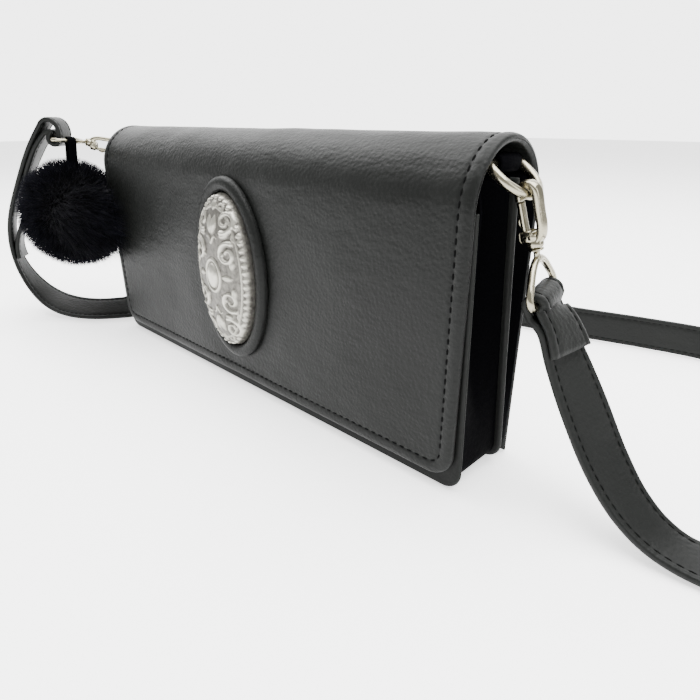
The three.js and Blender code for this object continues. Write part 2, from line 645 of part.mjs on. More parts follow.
// The frame where the strap leaves an eye: pull along the run, width along the bar, and away
// pointing from the bar to the side on which the run lies.
function endFrame(bar, pull, width, away, station) {
  const lateral = width.clone().normalize();
  if (lateral.dot(vec(station.wx, station.wy, station.wz)) < 0) lateral.negate();
  const run = perpendicular(pull, lateral);
  const side = run.clone().cross(lateral);
  if (side.dot(away) < 0) side.negate();
  return { bar, run, side, width: lateral };
}

function strapRun(rightEnd, leftEnd) {
  const start = along(rightEnd.bar, rightEnd.side, WRAP_RADIUS);
  const finish = along(leftEnd.bar, leftEnd.side, WRAP_RADIUS);
  const stations = [
    { point: start, width: rightEnd.width },
    { point: along(start, rightEnd.run, 4), width: rightEnd.width },
    ...STRAP_ROUTE.map((s) => ({ point: vec(s.x, s.y, s.z), width: vec(s.wx, s.wy, s.wz) })),
    { point: along(finish, leftEnd.run, 5), width: leftEnd.width },
    { point: finish, width: leftEnd.width },
  ];
  const line = new THREE.CatmullRomCurve3(stations.map((s) => s.point), false, 'centripetal');
  const turn = new THREE.CatmullRomCurve3(stations.map((s) => s.width), false, 'centripetal');
  line.arcLengthDivisions = 1200;
  const length = line.getLength();
  const archStart = length - ARCH_LENGTH;
  const distances = [
    ...steps(0, archStart, Math.round(archStart / STRAP_STEP)),
    ...steps(archStart, length, Math.round(ARCH_LENGTH / ARCH_STEP)).slice(1),
  ];
  return distances.map((distance) => {
    const raw = line.getUtoTmapping(distance / length);
    return { point: line.getPoint(raw), width: turn.getPoint(raw), tangent: line.getTangent(raw) };
  });
}

// A bend of half a turn round an eye's bar, starting on the run's side.
function wrapBend(end) {
  return steps(0, Math.PI, 8).slice(1).map((angle) => {
    const point = along(end.bar, end.side, WRAP_RADIUS * Math.cos(angle));
    return { point: point.addScaledVector(end.run, -WRAP_RADIUS * Math.sin(angle)), width: end.width };
  });
}

// The turned-back tail follows the run on the far side of the bar from it.
function tailFrames(end, run, length, bow) {
  const frames = [];
  let travelled = 0;
  const fold = end.side.clone().negate();
  let outward = fold;
  for (let i = 1; i < run.length && travelled < length; i += 1) {
    travelled += run[i].point.distanceTo(run[i - 1].point);
    const tangent = run[i].tangent;
    const normal = tangent.clone().cross(run[i].width).normalize();
    if (normal.dot(outward) < 0) normal.negate();
    outward = normal;
    const parting = (2 * WRAP_RADIUS - LAYER_PITCH) * (1 - smooth(travelled / TAIL_MERGE));
    const bowShare = THREE.MathUtils.clamp((travelled / length - 0.42) / 0.56, 0, 1);
    const lift = LAYER_PITCH + parting + bow * Math.sin(Math.PI * bowShare) ** 2;
    frames.push({ point: along(run[i].point, normal, lift), width: run[i].width });
  }
  return frames;
}

function strapGeometry() {
  const towardsHook = HOOKS.left.down.clone().negate();
  const { right: rightHook, left: leftHook } = HOOKS;
  const right = endFrame(rightHook.bar, RIGHT_PULL, rightHook.eyeWidth, RIGHT_SIDE, STRAP_ROUTE[0]);
  const left = endFrame(leftHook.bar, LEFT_PULL, leftHook.eyeWidth, towardsHook, STRAP_ROUTE.at(-1));
  const run = strapRun(right, left);
  const backwards = run.toReversed();
  const path = [
    ...tailFrames(right, run, RIGHT_TAIL, 0).toReversed(),
    ...wrapBend(right).toReversed(),
    ...run,
    ...wrapBend(left),
    ...tailFrames(left, backwards, LEFT_TAIL, LEFT_TAIL_BOW),
  ];
  let facing = null;
  const frames = path.map(({ point, width }, i) => {
    const before = path[Math.max(i - 1, 0)].point;
    const after = path[Math.min(i + 1, path.length - 1)].point;
    const tangent = after.clone().sub(before).normalize();
    const u = perpendicular(width, tangent);
    if (facing && u.dot(facing) < 0) u.negate();
    facing = u;
    return { point, u, v: tangent.clone().cross(u) };
  });
  return sweepSolid(frames, chamferSection(STRAP_WIDTH / 2, STRAP_THICKNESS / 2, STRAP_EDGE));
}

addMesh(bag, 'strap', strapGeometry(), LEATHER_GREY);

// ---------------------------------------------------------------- medallion and its bezel
const flapFaceY = -BAG_DEPTH / 2;

function domeHeight(x, z) {
  const reach = (x / MEDALLION_HALF_WIDTH) ** 2 + (z / MEDALLION_HALF_HEIGHT) ** 2;
  return MEDALLION_RIM + MEDALLION_DOME * Math.sqrt(1 - Math.min(reach, 1) ** 1.15);
}

function onMedallion(x, z, height) {
  return vec(x, flapFaceY - GAP - height, MEDALLION_Z + z);
}

function medallionBlank() {
  const shares = [0, 0.4, 0.7, 0.88, 1];
  const sectors = 32;
  const points = [];
  for (const share of shares) {
    for (const angle of steps(0, 2 * Math.PI, sectors).slice(0, sectors)) {
      const x = MEDALLION_HALF_WIDTH * share * Math.cos(angle);
      const z = MEDALLION_HALF_HEIGHT * share * Math.sin(angle);
      points.push(onMedallion(x, z, domeHeight(x, z)));
      if (share === 0) break;
    }
  }
  const backRing = points.length;
  for (const angle of steps(0, 2 * Math.PI, sectors).slice(0, sectors)) {
    points.push(onMedallion(MEDALLION_HALF_WIDTH * Math.cos(angle), MEDALLION_HALF_HEIGHT * Math.sin(angle), 0));
  }
  const backHub = points.length;
  points.push(onMedallion(0, 0, 0));
  const triangles = [];
  for (let j = 0; j < sectors; j += 1) {
    const k = (j + 1) % sectors;
    triangles.push([0, 1 + j, 1 + k], [backHub, backRing + k, backRing + j]);
    for (let i = 0; i + 1 < shares.length; i += 1) {
      const here = 1 + i * sectors;
      const next = here + sectors;
      triangles.push([here + j, next + j, next + k], [here + j, next + k, here + k]);
    }
  }
  return closedSolid(points, triangles);
}

// Scrolls are spirals that start along a stem and curl in on themselves; each row is one scroll
// of the upper right quarter, repeated by mirroring.
const SCROLL_STEPS = 10;
const SCROLLS = [
  { x: 8.8, z: 26.5, radius: 5.4, start: -1.9, turns: 1.3, wire: 1.05 },
  { x: 11.2, z: 11.5, radius: 5.6, start: 1.2, turns: 1.25, wire: 1.15 },
];

function scrollGeometry(scroll, mirrorX, mirrorZ) {
  const path = steps(0, 1, SCROLL_STEPS).map((share) => {
    const angle = scroll.start + share * scroll.turns * 2 * Math.PI;
    const radius = scroll.radius * (1 - 0.78 * share);
    const x = scroll.x + radius * Math.cos(angle);
    const z = scroll.z + radius * Math.sin(angle);
    return onMedallion(mirrorX * x, mirrorZ * z, domeHeight(x, z));
  });
  const frames = path.map((point, i) => {
    const tangent = path[Math.min(i + 1, SCROLL_STEPS)].clone().sub(path[Math.max(i - 1, 0)]).normalize();
    const u = tangent.clone().cross(Y_AXIS).normalize();
    return { point, u, v: tangent.clone().cross(u).normalize() };
  });
  return sweepSolid(frames, roundSection(scroll.wire, scroll.wire, 5));
}

function medallionGeometry() {
  const relief = [];
  for (const scroll of SCROLLS) {
    for (const [mirrorX, mirrorZ] of [[1, 1], [-1, 1], [1, -1], [-1, -1]]) {
      relief.push(scrollGeometry(scroll, mirrorX, mirrorZ));
    }
  }
  const boss = new THREE.SphereGeometry(1, 10, 6).scale(4.2, 2.6, 6.2);
  const crown = domeHeight(0, 0);
  relief.push(boss.translate(0, flapFaceY - GAP - crown, MEDALLION_Z));
  for (const sign of [-1, 1]) {
    const leaf = new THREE.SphereGeometry(1, 8, 6).scale(1.9, 1.6, 5.4);
    const z = sign * 16;
    relief.push(leaf.translate(0, flapFaceY - GAP - domeHeight(0, z), MEDALLION_Z + z));
  }
  for (const angle of steps(0, 2 * Math.PI, BEAD_COUNT).slice(1)) {
    const x = (MEDALLION_HALF_WIDTH - BEAD_INSET) * Math.cos(angle);
    const z = (MEDALLION_HALF_HEIGHT - BEAD_INSET) * Math.sin(angle);
    const centre = onMedallion(x, z, domeHeight(x, z) - 0.1);
    relief.push(new THREE.OctahedronGeometry(BEAD_RADIUS, 0).translate(centre.x, centre.y, centre.z));
  }
  return joinAndCut([medallionBlank(), ...relief]);
}

addMesh(bag, 'medallion', medallionGeometry(), SILVER);

function bezelGeometry() {
  const middle = BEZEL_WIDTH / 2 + GAP;
  const path = steps(0, 2 * Math.PI, 40).slice(0, 40).map((angle) => onMedallion(
    (MEDALLION_HALF_WIDTH + middle) * Math.cos(angle),
    (MEDALLION_HALF_HEIGHT + middle) * Math.sin(angle),
    0,
  ));
  const half = BEZEL_WIDTH / 2;
  const crown = half * BEZEL_CROWN_SHARE;
  const section = [
    [-half, 0], [half, 0], [half, BEZEL_WALL], [crown, BEZEL_HEIGHT], [-crown, BEZEL_HEIGHT],
    [-half, BEZEL_WALL],
  ];
  const frames = planarFrames(path, Y_AXIS.clone().negate(), true);
  return sweepSolid(frames, section, true);
}

addMesh(bag, 'medallion_bezel', bezelGeometry(), LEATHER_GREY);

// ---------------------------------------------------------------- pompom and its hanging loop
// The loop is a leather band that hangs from the middle of one leg of the left strap eye.
const [legTop, legFoot] = EYE_HALF_PATH.slice(1, 3).map(([y, z]) => HOOKS.left.eyePoint(y, z));
const legMiddle = legTop.clone().lerp(legFoot, 0.5);
const hangWay = POMPOM_CENTRE.clone().sub(legMiddle).normalize();

function pompomGeometry() {
  const locks = [new THREE.IcosahedronGeometry(POMPOM_CORE, 1)];
  const golden = Math.PI * (3 - Math.sqrt(5));
  for (let i = 0; i < POMPOM_LOCKS; i += 1) {
    const z = 1 - (2 * (i + 0.5)) / POMPOM_LOCKS;
    const ring = Math.sqrt(1 - z * z);
    const way = vec(ring * Math.cos(golden * i), ring * Math.sin(golden * i), z);
    const tip = POMPOM_LOCK_TIP - LOCK_UNEVENNESS * (0.5 + 0.5 * Math.sin(7.3 * i));
    const half = (tip - POMPOM_CORE + LOCK_ROOT) / 2;
    const lock = new THREE.OctahedronGeometry(1, 1).scale(LOCK_HALF_WIDTH, half, LOCK_HALF_WIDTH);
    lock.applyQuaternion(new THREE.Quaternion().setFromUnitVectors(Y_AXIS, way));
    const centre = way.clone().multiplyScalar(tip - half);
    locks.push(lock.translate(centre.x, centre.y, centre.z));
  }
  const socketMiddle = hangWay.clone().multiplyScalar(-POMPOM_LOCK_TIP);
  const socket = cylinderAlong(hangWay, socketMiddle, SOCKET_RADIUS, 2 * LOOP_SOCKET, 12);
  return joinAndCut(locks, [socket]).translate(POMPOM_CENTRE.x, POMPOM_CENTRE.y, POMPOM_CENTRE.z);
}

addMesh(bag, 'pompom', pompomGeometry(), FUR_BLACK);

function loopGeometry() {
  const across = hangWay.clone().cross(legFoot.clone().sub(legTop)).normalize();
  const half = EYE_WIRE + GAP + LOOP_SLACK + LOOP_LEATHER / 2;
  const socketFoot = legMiddle.distanceTo(POMPOM_CENTRE) - POMPOM_LOCK_TIP + LOOP_SOCKET;
  const reach = socketFoot - GAP - LOOP_LEATHER / 2 - half;
  const outline = [];
  for (const angle of steps(0, Math.PI, 8)) outline.push([Math.cos(angle), 0, -Math.sin(angle)]);
  for (const angle of steps(Math.PI, 2 * Math.PI, 8)) outline.push([Math.cos(angle), 1, -Math.sin(angle)]);
  const path = outline.map(([side, below, drop]) => along(legMiddle, across, half * side)
    .addScaledVector(hangWay, below * reach + half * drop));
  const frames = planarFrames(path, hangWay.clone().cross(across), true);
  const section = chamferSection(LOOP_LEATHER / 2, LOOP_WIDTH / 2, LOOP_LEATHER / 4);
  return sweepSolid(frames, section, true);
}

addMesh(bag, 'pompom_loop', loopGeometry(), LEATHER_BLACK);

export default bag;
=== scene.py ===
"""Flap-over shoulder bag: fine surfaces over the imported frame."""

import math

import bpy
import numpy as np
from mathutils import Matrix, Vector, noise


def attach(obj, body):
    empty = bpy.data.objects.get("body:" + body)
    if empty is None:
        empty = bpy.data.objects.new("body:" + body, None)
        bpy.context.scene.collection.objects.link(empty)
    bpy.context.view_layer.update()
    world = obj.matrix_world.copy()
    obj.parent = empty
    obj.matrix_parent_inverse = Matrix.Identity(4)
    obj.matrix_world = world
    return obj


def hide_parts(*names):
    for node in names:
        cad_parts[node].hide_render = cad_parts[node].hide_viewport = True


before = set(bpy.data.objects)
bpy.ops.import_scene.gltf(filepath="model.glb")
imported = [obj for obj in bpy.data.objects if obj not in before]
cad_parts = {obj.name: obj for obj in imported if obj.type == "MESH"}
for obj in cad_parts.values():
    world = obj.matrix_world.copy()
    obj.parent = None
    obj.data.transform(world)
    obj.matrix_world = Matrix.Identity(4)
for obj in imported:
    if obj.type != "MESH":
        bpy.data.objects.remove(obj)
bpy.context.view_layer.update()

MM = 0.001
X, Y, Z = np.eye(3)

# ---------- sizes shared with the frame (mm)
GAP = 0.3
BAG_WIDTH = 270.0
BAG_DEPTH = 45.0
BAG_HEIGHT = 130.7
ARCH_RISE = 24.0
WRAP_THICKNESS = 3.0
FLAP_EDGE_Z = 6.0
FLAP_CORNER = 11.0
PANEL_HALF_WIDTH = 137.4
PANEL_TOP_HALF_WIDTH = 134.6
PANEL_THICKNESS = 2.5
PANEL_TOP = 107.0
PANEL_CORNER = 8.0
DIVIDER_TOP = 117.0
DIVIDER_FOOT_Y = 12.5
DIVIDER_LEAN = 0.105
GUSSET_HALF_WIDTH = 134.9
GUSSET_CORNER = 9.0
GUSSET_TOP = 117.2
RING_WIRE = 1.6
RING_HALF_BAR = 10.5
RING_LEG = 5.0
RING_ARC = 10.0
RING_BAR_Z = 121.4
RIGHT_BAR_X = 131.5
LEFT_BAR_X = -138.5
TAB_WIDTH = 13.0
TAB_LEATHER = 1.2
HOOK_RADIUS = 3.4
GRIP_SLACK = 0.6
HOOK_HALF_IN = 1.3
HOOK_HALF_OUT = 1.9
TIP_Z = -1.8
PIN_X = -2.8
PIN_Z = -13.1
THUMB_Z = -8.6
BARREL_RADIUS = 2.7
BARREL_TOP = -12.6
BARREL_FOOT = -17.4
COLLAR_RADIUS = 2.5
COLLAR_TOP = -17.7
COLLAR_FOOT = -18.4
EYE_WIRE = 1.3
EYE_TOP = -21.6
EYE_BAR = -35.2
EYE_HALF = [(2.4, -21.7), (5.6, -23.4), (9.6, -27.4), (12.1, -30.4), (12.8, -32.6), (12.4, -34.4),
            (10.8, EYE_BAR)]
STRAP_WIDTH = 20.0
STRAP_THICKNESS = 2.8
RIGHT_TAIL = 21.0
LEFT_TAIL = 128.0
LEFT_TAIL_BOW = 5.0
TAIL_MERGE = 11.0
WRAP_SLACK = 0.15
MEDALLION_Z = 64.5
MEDALLION_HALF_WIDTH = 21.0
MEDALLION_HALF_HEIGHT = 38.5
MEDALLION_RIM = 2.4
MEDALLION_DOME = 8.6
BEZEL_WIDTH = 7.0
BEZEL_HEIGHT = 3.6
POMPOM_CENTRE = np.array([-169.5, -32.5, 75.8])
POMPOM_LOCK_TIP = 34.0
POMPOM_RADIUS = 35.5
LOOP_WIDTH = 5.0
LOOP_LEATHER = 0.9
LOOP_SLACK = 0.3
LOOP_SOCKET = 8.0


# ---------- small maths
def unit(vector):
    vector = np.asarray(vector, float)
    return vector / np.linalg.norm(vector)


def unit_rows(vectors):
    return vectors / np.linalg.norm(vectors, axis=1)[:, None]


def perpendicular(vector, axis):
    return unit(np.asarray(vector, float) - axis * np.dot(vector, axis))


def smooth(value):
    value = np.clip(value, 0.0, 1.0)
    return value * value * (3 - 2 * value)


def bell(value, centre, width):
    return np.exp(-(((value - centre) / width) ** 2))


def round_top(square):
    """Height of a round bump: 1 in its middle, 0 where the squared distance passes 1."""
    return np.sqrt(np.clip(1 - square, 0, 1))


def circle(count):
    """Angles spread evenly round a full turn."""
    return np.arange(count) * 2 * np.pi / count


def lengths_along(line):
    """The distance travelled at each point of a line."""
    return np.concatenate([[0], np.cumsum(np.linalg.norm(np.diff(line, axis=0), axis=1))])


def at_lengths(wanted, lengths, line):
    return np.stack([np.interp(wanted, lengths, column) for column in line.T], -1)


def ripple(point, scale, seed):
    """Smooth noise between about -1 and 1 at a size in millimetres."""
    return noise.noise(Vector(point) / scale + Vector((seed, 2.7 * seed, -1.3 * seed)))


def ripples(x, z, scale, seed):
    return np.vectorize(lambda a, b: ripple((a, 0, b), scale, seed))(x, z)


# ---------- materials
class Nodes:
    """A small helper to wire up one material or world."""

    def __init__(self, owner, shader="Principled BSDF"):
        self.owner = owner
        owner.use_nodes = True
        self.tree = owner.node_tree
        self.shader = self.tree.nodes[shader]

    def put(self, socket, value):
        """Links the socket to another node's output, or sets its value."""
        if isinstance(value, bpy.types.NodeSocket):
            self.tree.links.new(value, socket)
        else:
            socket.default_value = value

    def add(self, kind, **values):
        node = self.tree.nodes.new("ShaderNode" + kind)
        for key, value in values.items():
            if key in node.inputs:
                self.put(node.inputs[key], value)
            else:
                setattr(node, key, value)
        return node

    def set(self, values):
        for key, value in values.items():
            self.put(self.shader.inputs[key], value)

    def place(self, kind="Object"):
        return self.add("TexCoord").outputs[kind]

    def stretched(self, place, scale):
        return self.add("Mapping", Vector=place, Scale=scale).outputs[0]

    def clouds(self, place, scale, detail):
        return self.add("TexNoise", Vector=place, Scale=scale, Detail=detail).outputs["Fac"]

    def attribute(self, name):
        return self.add("Attribute", attribute_name=name).outputs["Fac"]

    def bump(self, height, strength, distance):
        relief = self.add("Bump", Height=height, Strength=strength, Distance=distance)
        self.set({"Normal": relief.outputs["Normal"]})

    def ramp(self, source, stops):
        node = self.add("ValToRGB", Fac=source)
        elements = node.color_ramp.elements
        while len(elements) < len(stops):
            elements.new(0.5)
        for element, (position, colour) in zip(elements, stops):
            element.position = position
            element.color = (*colour, 1.0)
        return node.outputs["Color"]

    def grey(self, source, low, high, from_min=0.0, from_max=1.0, kind="LINEAR"):
        values = {"Value": source, "From Min": from_min, "From Max": from_max, "To Min": low, "To Max": high}
        return self.add("MapRange", interpolation_type=kind, **values).outputs["Result"]

    def maths(self, operation, *values, kind="Math"):
        node = self.add(kind, operation=operation)
        for socket, value in zip(node.inputs, values):
            self.put(socket, value)
        return node.outputs["Value"]


def new_material(name):
    return Nodes(bpy.data.materials.new(name))


def shade(colour, factor):
    return tuple(min(1.0, channel * factor) for channel in colour)


# texture scales of the leather: bigger is finer
CELL_SCALE = 680
PORE_SCALE = 2400
CREASE_SCALE = 210
PATCH_SCALE = 22
LEATHER_RELIEF = 0.00036
LEATHER_BUMP = 0.62
# painted highlight: rounded edges are made lighter by this factor
EDGE_SHEEN_TONE = 1.7


def leather(name, colour, roughness, grain=1.0, bump=1.0, gloss=0.11):
    """Pebbled leather: cells about 1.5 mm across, fine pores, soft creases, and a painted highlight that
    lightens the rounded edges.
    """
    n = new_material(name)
    place = n.place()
    cells = n.add("TexVoronoi", Vector=place, feature="SMOOTH_F1", Scale=CELL_SCALE * grain, Randomness=1.0)
    pores = n.clouds(place, PORE_SCALE * grain, 3.0)
    creases = n.clouds(n.stretched(place, (0.35, 1.0, 1.0)), CREASE_SCALE, 6.0)
    clouds = n.clouds(place, PATCH_SCALE, 3.0)
    height = n.maths("ADD", n.maths("MULTIPLY", cells.outputs["Distance"], 0.75),
                     n.maths("MULTIPLY", pores, 0.35))
    # the creases come in patches
    patches = n.grey(clouds, 0.5, 2.2, 0.42, 0.6)
    height = n.maths("ADD", height, n.maths("MULTIPLY", creases, patches))
    n.bump(height, LEATHER_BUMP * bump, LEATHER_RELIEF)
    tone = n.ramp(clouds, [(0.3, shade(colour, 0.82)), (0.7, shade(colour, 1.2))])
    # painted highlight: the colour is made lighter on rounded edges
    edge = n.grey(n.add("NewGeometry").outputs["Pointiness"], 0.0, 1.0, 0.52, 0.60)
    painted_edge_sheen = n.add("MixRGB", Fac=edge, Color1=tone, Color2=(*shade(colour, EDGE_SHEEN_TONE), 1.0))
    n.set({"Base Color": painted_edge_sheen.outputs["Color"], "Specular IOR Level": gloss,
           "Roughness": n.grey(clouds, roughness - 0.05, roughness + 0.06, 0.3, 0.7)})
    return n.owner


def plated(name, colour, roughness):
    """Plated metal with faint polishing marks and dull patches."""
    n = new_material(name)
    place = n.place()
    smudges = n.clouds(place, 240, 4.0)
    n.bump(n.clouds(n.stretched(place, (1.0, 1.0, 0.08)), 3000, 2.0), 0.08, 0.00005)
    n.set({"Base Color": n.ramp(smudges, [(0.35, shade(colour, 0.82)), (0.65, colour)]), "Metallic": 1.0,
           "Roughness": n.grey(smudges, roughness - 0.06, roughness + 0.1, 0.3, 0.7)})
    return n.owner


def antique_silver(name):
    """Cast silver: bright rubbed heights and a dark patina in the recesses."""
    n = new_material(name)
    place = n.place()
    relief = n.attribute("relief")
    blotches = n.clouds(place, 420, 5.0)
    level = n.maths("ADD", relief, n.maths("MULTIPLY", n.maths("SUBTRACT", blotches, 0.5), 0.35))
    tone = n.ramp(level, [(0.08, (0.035, 0.033, 0.03)), (0.26, (0.17, 0.163, 0.145)),
                          (0.55, (0.31, 0.302, 0.262)), (1.0, (0.45, 0.44, 0.385))])
    n.bump(n.clouds(place, 1900, 4.0), 0.25, 0.0001)
    n.set({"Base Color": tone, "Metallic": 0.85, "Roughness": n.grey(level, 0.5, 0.28)})
    return n.owner


def fur_black(name):
    n = new_material(name)
    tone = n.ramp(n.attribute("along"), [(0.0, (0.0006, 0.0006, 0.0011)), (0.7, (0.0012, 0.0013, 0.0026)),
                                         (1.0, (0.003, 0.0033, 0.007))])
    n.set({"Base Color": tone, "Roughness": 0.7, "Specular IOR Level": 0.07, "Sheen Weight": 0.015,
           "Sheen Roughness": 0.4})
    return n.owner


def thread(name, colour):
    n = new_material(name)
    twist = n.add("TexWave", Vector=n.place(), Scale=900, Distortion=1.5).outputs["Fac"]
    n.bump(twist, 0.5, 0.0001)
    n.set({"Base Color": n.ramp(twist, [(0.0, shade(colour, 0.7)), (1.0, shade(colour, 1.2))]),
           "Roughness": 0.8, "Specular IOR Level": 0.04})
    return n.owner


# dark, because the backdrop and the lights are bright
GREY = (0.0056, 0.0061, 0.0056)
BLACK = (0.0008, 0.0008, 0.0011)
LEATHER_GREY = leather("leather_grey", GREY, 0.42)
LEATHER_STRAP = leather("leather_strap", shade(GREY, 1.1), 0.46, grain=1.15, bump=0.8)
LEATHER_EDGE = leather("leather_edge", shade(GREY, 0.85), 0.5, bump=0.6, gloss=0.09)
LEATHER_BLACK = leather("leather_black", BLACK, 0.75, grain=1.2, bump=0.7, gloss=0.01)
NICKEL = plated("nickel", (0.33, 0.305, 0.225), 0.22)
SILVER = antique_silver("silver")
FUR = fur_black("fur_black")
THREAD = thread("thread_dark", (0.0036, 0.0038, 0.0038))
THREAD_GREY = thread("thread_grey", GREY)


# ---------- mesh helpers: a shell is its points and faces
def link_object(name, data):
    thing = bpy.data.objects.new(name, data)
    bpy.context.scene.collection.objects.link(thing)
    return thing


def make_object(name, shell, material, node=None, body="root", attributes=None):
    points, faces = shell
    mesh = bpy.data.meshes.new(name)
    mesh.from_pydata((np.asarray(points, float) * MM).tolist(), [], faces)
    for key, values in (attributes or {}).items():
        layer = mesh.attributes.new(key, "FLOAT", "POINT")
        layer.data.foreach_set("value", np.asarray(values, np.float32))
    mesh.validate()
    mesh.shade_smooth()
    piece = link_object(name, mesh)
    mesh.materials.append(material)
    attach(piece, body)
    if node:
        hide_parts(node)
    return piece


def join(shells, place=None):
    """Several shells as one, moved by place if it is given."""
    points, faces, count = [], [], 0
    for shell_points, shell_faces in shells:
        points.append(shell_points)
        faces += [tuple(i + count for i in face) for face in shell_faces]
        count += len(shell_points)
    points = np.concatenate(points)
    return (place(points) if place else points), faces


def outward(points, faces):
    """The shell, its faces turned round if it would be inside out."""
    points = np.asarray(points, float)
    volume = 0.0
    for face in faces:
        for a, b in zip(face[1:], face[2:]):
            volume += np.dot(points[face[0]], np.cross(points[a], points[b]))
    return points, faces if volume > 0 else [tuple(reversed(face)) for face in faces]


def sheet_shell(outer, inner):
    """Two grids of points (rows, columns, 3), joined round their border."""
    rows, columns = outer.shape[:2]
    layer = rows * columns
    index = np.arange(layer).reshape(rows, columns)
    a, b = index[:-1, :-1], index[:-1, 1:]
    c, d = index[1:, 1:], index[1:, :-1]
    top = np.stack([a, b, c, d], -1).reshape(-1, 4)
    bottom = np.stack([a, d, c, b], -1).reshape(-1, 4) + layer
    border = [*index[0, :], *index[1:, -1], *index[-1, -2::-1], *index[-2:0:-1, 0]]
    rim = [(i, i + layer, j + layer, j) for i, j in zip(border, border[1:] + border[:1])]
    faces = [*map(tuple, top), *map(tuple, bottom), *rim]
    return outward(np.concatenate([outer.reshape(-1, 3), inner.reshape(-1, 3)]), faces)


def tube_faces(rings, sides, closed=False):
    """Faces between neighbouring rings of points; an open tube also gets its two ends."""
    faces = []
    for i in range(rings if closed else rings - 1):
        here, after = i * sides, ((i + 1) % rings) * sides
        for j in range(sides):
            k = (j + 1) % sides
            faces.append((here + j, here + k, after + k, after + j))
    if not closed:
        faces.append(tuple(reversed(range(sides))))
        faces.append(tuple(range((rings - 1) * sides, rings * sides)))
    return faces


def sweep_shell(centres, us, vs, section, closed=False, scales=None):
    """A section of (u, v) points carried along the centres."""
    section = np.asarray(section, float)
    scales = np.ones(len(centres)) if scales is None else np.asarray(scales, float)
    points = (np.asarray(centres, float)[:, None, :]
              + scales[:, None, None] * section[None, :, :1] * us[:, None, :]
              + scales[:, None, None] * section[None, :, 1:] * vs[:, None, :])
    return outward(points.reshape(-1, 3), tube_faces(len(centres), len(section), closed))


def tangents(path, closed=False):
    if closed:
        return unit_rows(np.roll(path, -1, 0) - np.roll(path, 1, 0))
    return unit_rows(np.concatenate([path[1:], path[-1:]]) - np.concatenate([path[:1], path[:-1]]))


def flat_sweep(path, normal, section, closed=False, scales=None):
    """A section carried along a path that lies in the plane with this normal."""
    us = unit_rows(np.cross(tangents(path, closed), normal))
    return sweep_shell(path, us, np.asarray(normal, float)[None], section, closed, scales)


def lathe_shell(profile, sides):
    """A turned body about the local Z axis."""
    points = [(radius * math.cos(a), radius * math.sin(a), z) for radius, z in profile for a in circle(sides)]
    return outward(points, tube_faces(len(profile), sides))


def squared_section(half_u, half_v, sides, squareness=0.55):
    """A closed curve between a rectangle (squareness near 0) and an ellipse (1)."""
    c, s = np.cos(circle(sides)), np.sin(circle(sides))
    return np.stack([half_u * np.sign(c) * np.abs(c) ** squareness,
                     half_v * np.sign(s) * np.abs(s) ** squareness], -1)


def round_section(half_u, half_v, sides):
    return squared_section(half_u, half_v, sides, 1)


def spline(stations, count, closed=False):
    """Centripetal Catmull-Rom line through the stations, evenly spaced by length."""
    p = list(np.asarray(stations, float))
    p = [p[-1], *p, p[0], p[1]] if closed else [2 * p[0] - p[1], *p, 2 * p[-1] - p[-2]]
    t = np.linspace(0, 1, 24, endpoint=False)[:, None]
    dense = []
    for p0, p1, p2, p3 in zip(p, p[1:], p[2:], p[3:]):
        d0, d1, d2 = (max(np.linalg.norm(step[:3]) ** 0.5, 1e-4) for step in (p1 - p0, p2 - p1, p3 - p2))
        m1 = ((p1 - p0) / d0 - (p2 - p0) / (d0 + d1) + (p2 - p1) / d1) * d1
        m2 = ((p2 - p1) / d1 - (p3 - p1) / (d1 + d2) + (p3 - p2) / d2) * d1
        dense.append((2 * t**3 - 3 * t**2 + 1) * p1 + (t**3 - 2 * t**2 + t) * m1
                     + (3 * t**2 - 2 * t**3) * p2 + (t**3 - t**2) * m2)
    dense = np.concatenate([*dense, p2[None]])
    lengths = lengths_along(dense[:, :3])
    marks = np.linspace(0, lengths[-1], count + 1)
    return at_lengths(marks[:-1] if closed else marks, lengths, dense)


def stitch_shells(line, normals, pitch, length, radius):
    """Short rounded stitches laid along a line, each tipping slightly into the leather."""
    marks = lengths_along(line)
    count = int(marks[-1] // pitch)
    start = (marks[-1] - count * pitch) / 2 + (pitch - length) / 2
    shells = []
    for k in range(count):
        at = start + k * pitch + np.array([0, 0.15, 0.5, 0.85, 1.0]) * length
        up = unit(at_lengths(at[2], marks, normals))
        path = at_lengths(at, marks, line) + up * (np.array([-0.75, 0.1, 0.45, 0.1, -0.75]) * radius)[:, None]
        side = unit(np.cross(path[-1] - path[0], up))
        shells.append(sweep_shell(path, side[None], up[None], round_section(radius, radius, 6),
                                  scales=[0.5, 0.95, 1, 0.95, 0.5]))
    return shells


# ---------- camera, light and floor
CAMERA_PLACE = (226.72, -171.48, 134.77)  # mm
CAMERA_WAY = (-0.64067, 0.65921, -0.39368)
CAMERA_LENS = 27.77
# name, place, target, size (m) and power (W) of each area light
LIGHTS = (
    ("key_top", (0.3, 0.1, 1.1), (0.05, 0, 0.08), (1.3, 0.9), 40),
    ("sheen_left", (-0.62, -0.12, 1.1), (0.05, 0, 0.1), (0.9, 0.8), 20),
    ("side_right", (1.2, 0.1, 0.6), (0.1, 0, 0.08), (0.4, 0.8), 5),
)
BACKDROP_WAY = (-0.697, 0.717, 0.0)
BACKDROP_LEVEL = 4.4
SOFT_LEVEL = 0.85
FLOOR_GLOW = 1.3
FLOOR_HALF = 4.0
FLOOR_DROP = 0.0006


def look_along(thing, way):
    thing.rotation_euler = way.to_track_quat("-Z", "Y").to_euler()


def set_camera():
    data = bpy.data.cameras.new("camera")
    data.sensor_width = 36.0
    data.lens = CAMERA_LENS
    camera = link_object("camera", data)
    camera.location = Vector(CAMERA_PLACE) * MM
    look_along(camera, Vector(CAMERA_WAY).normalized())
    bpy.context.scene.camera = camera


def area_light(name, place, target, size, power):
    data = bpy.data.lights.new(name, "AREA")
    data.shape = "RECTANGLE"
    data.size, data.size_y = size
    data.energy = power
    light = link_object(name, data)
    light.location = place
    look_along(light, Vector(target) - Vector(place))


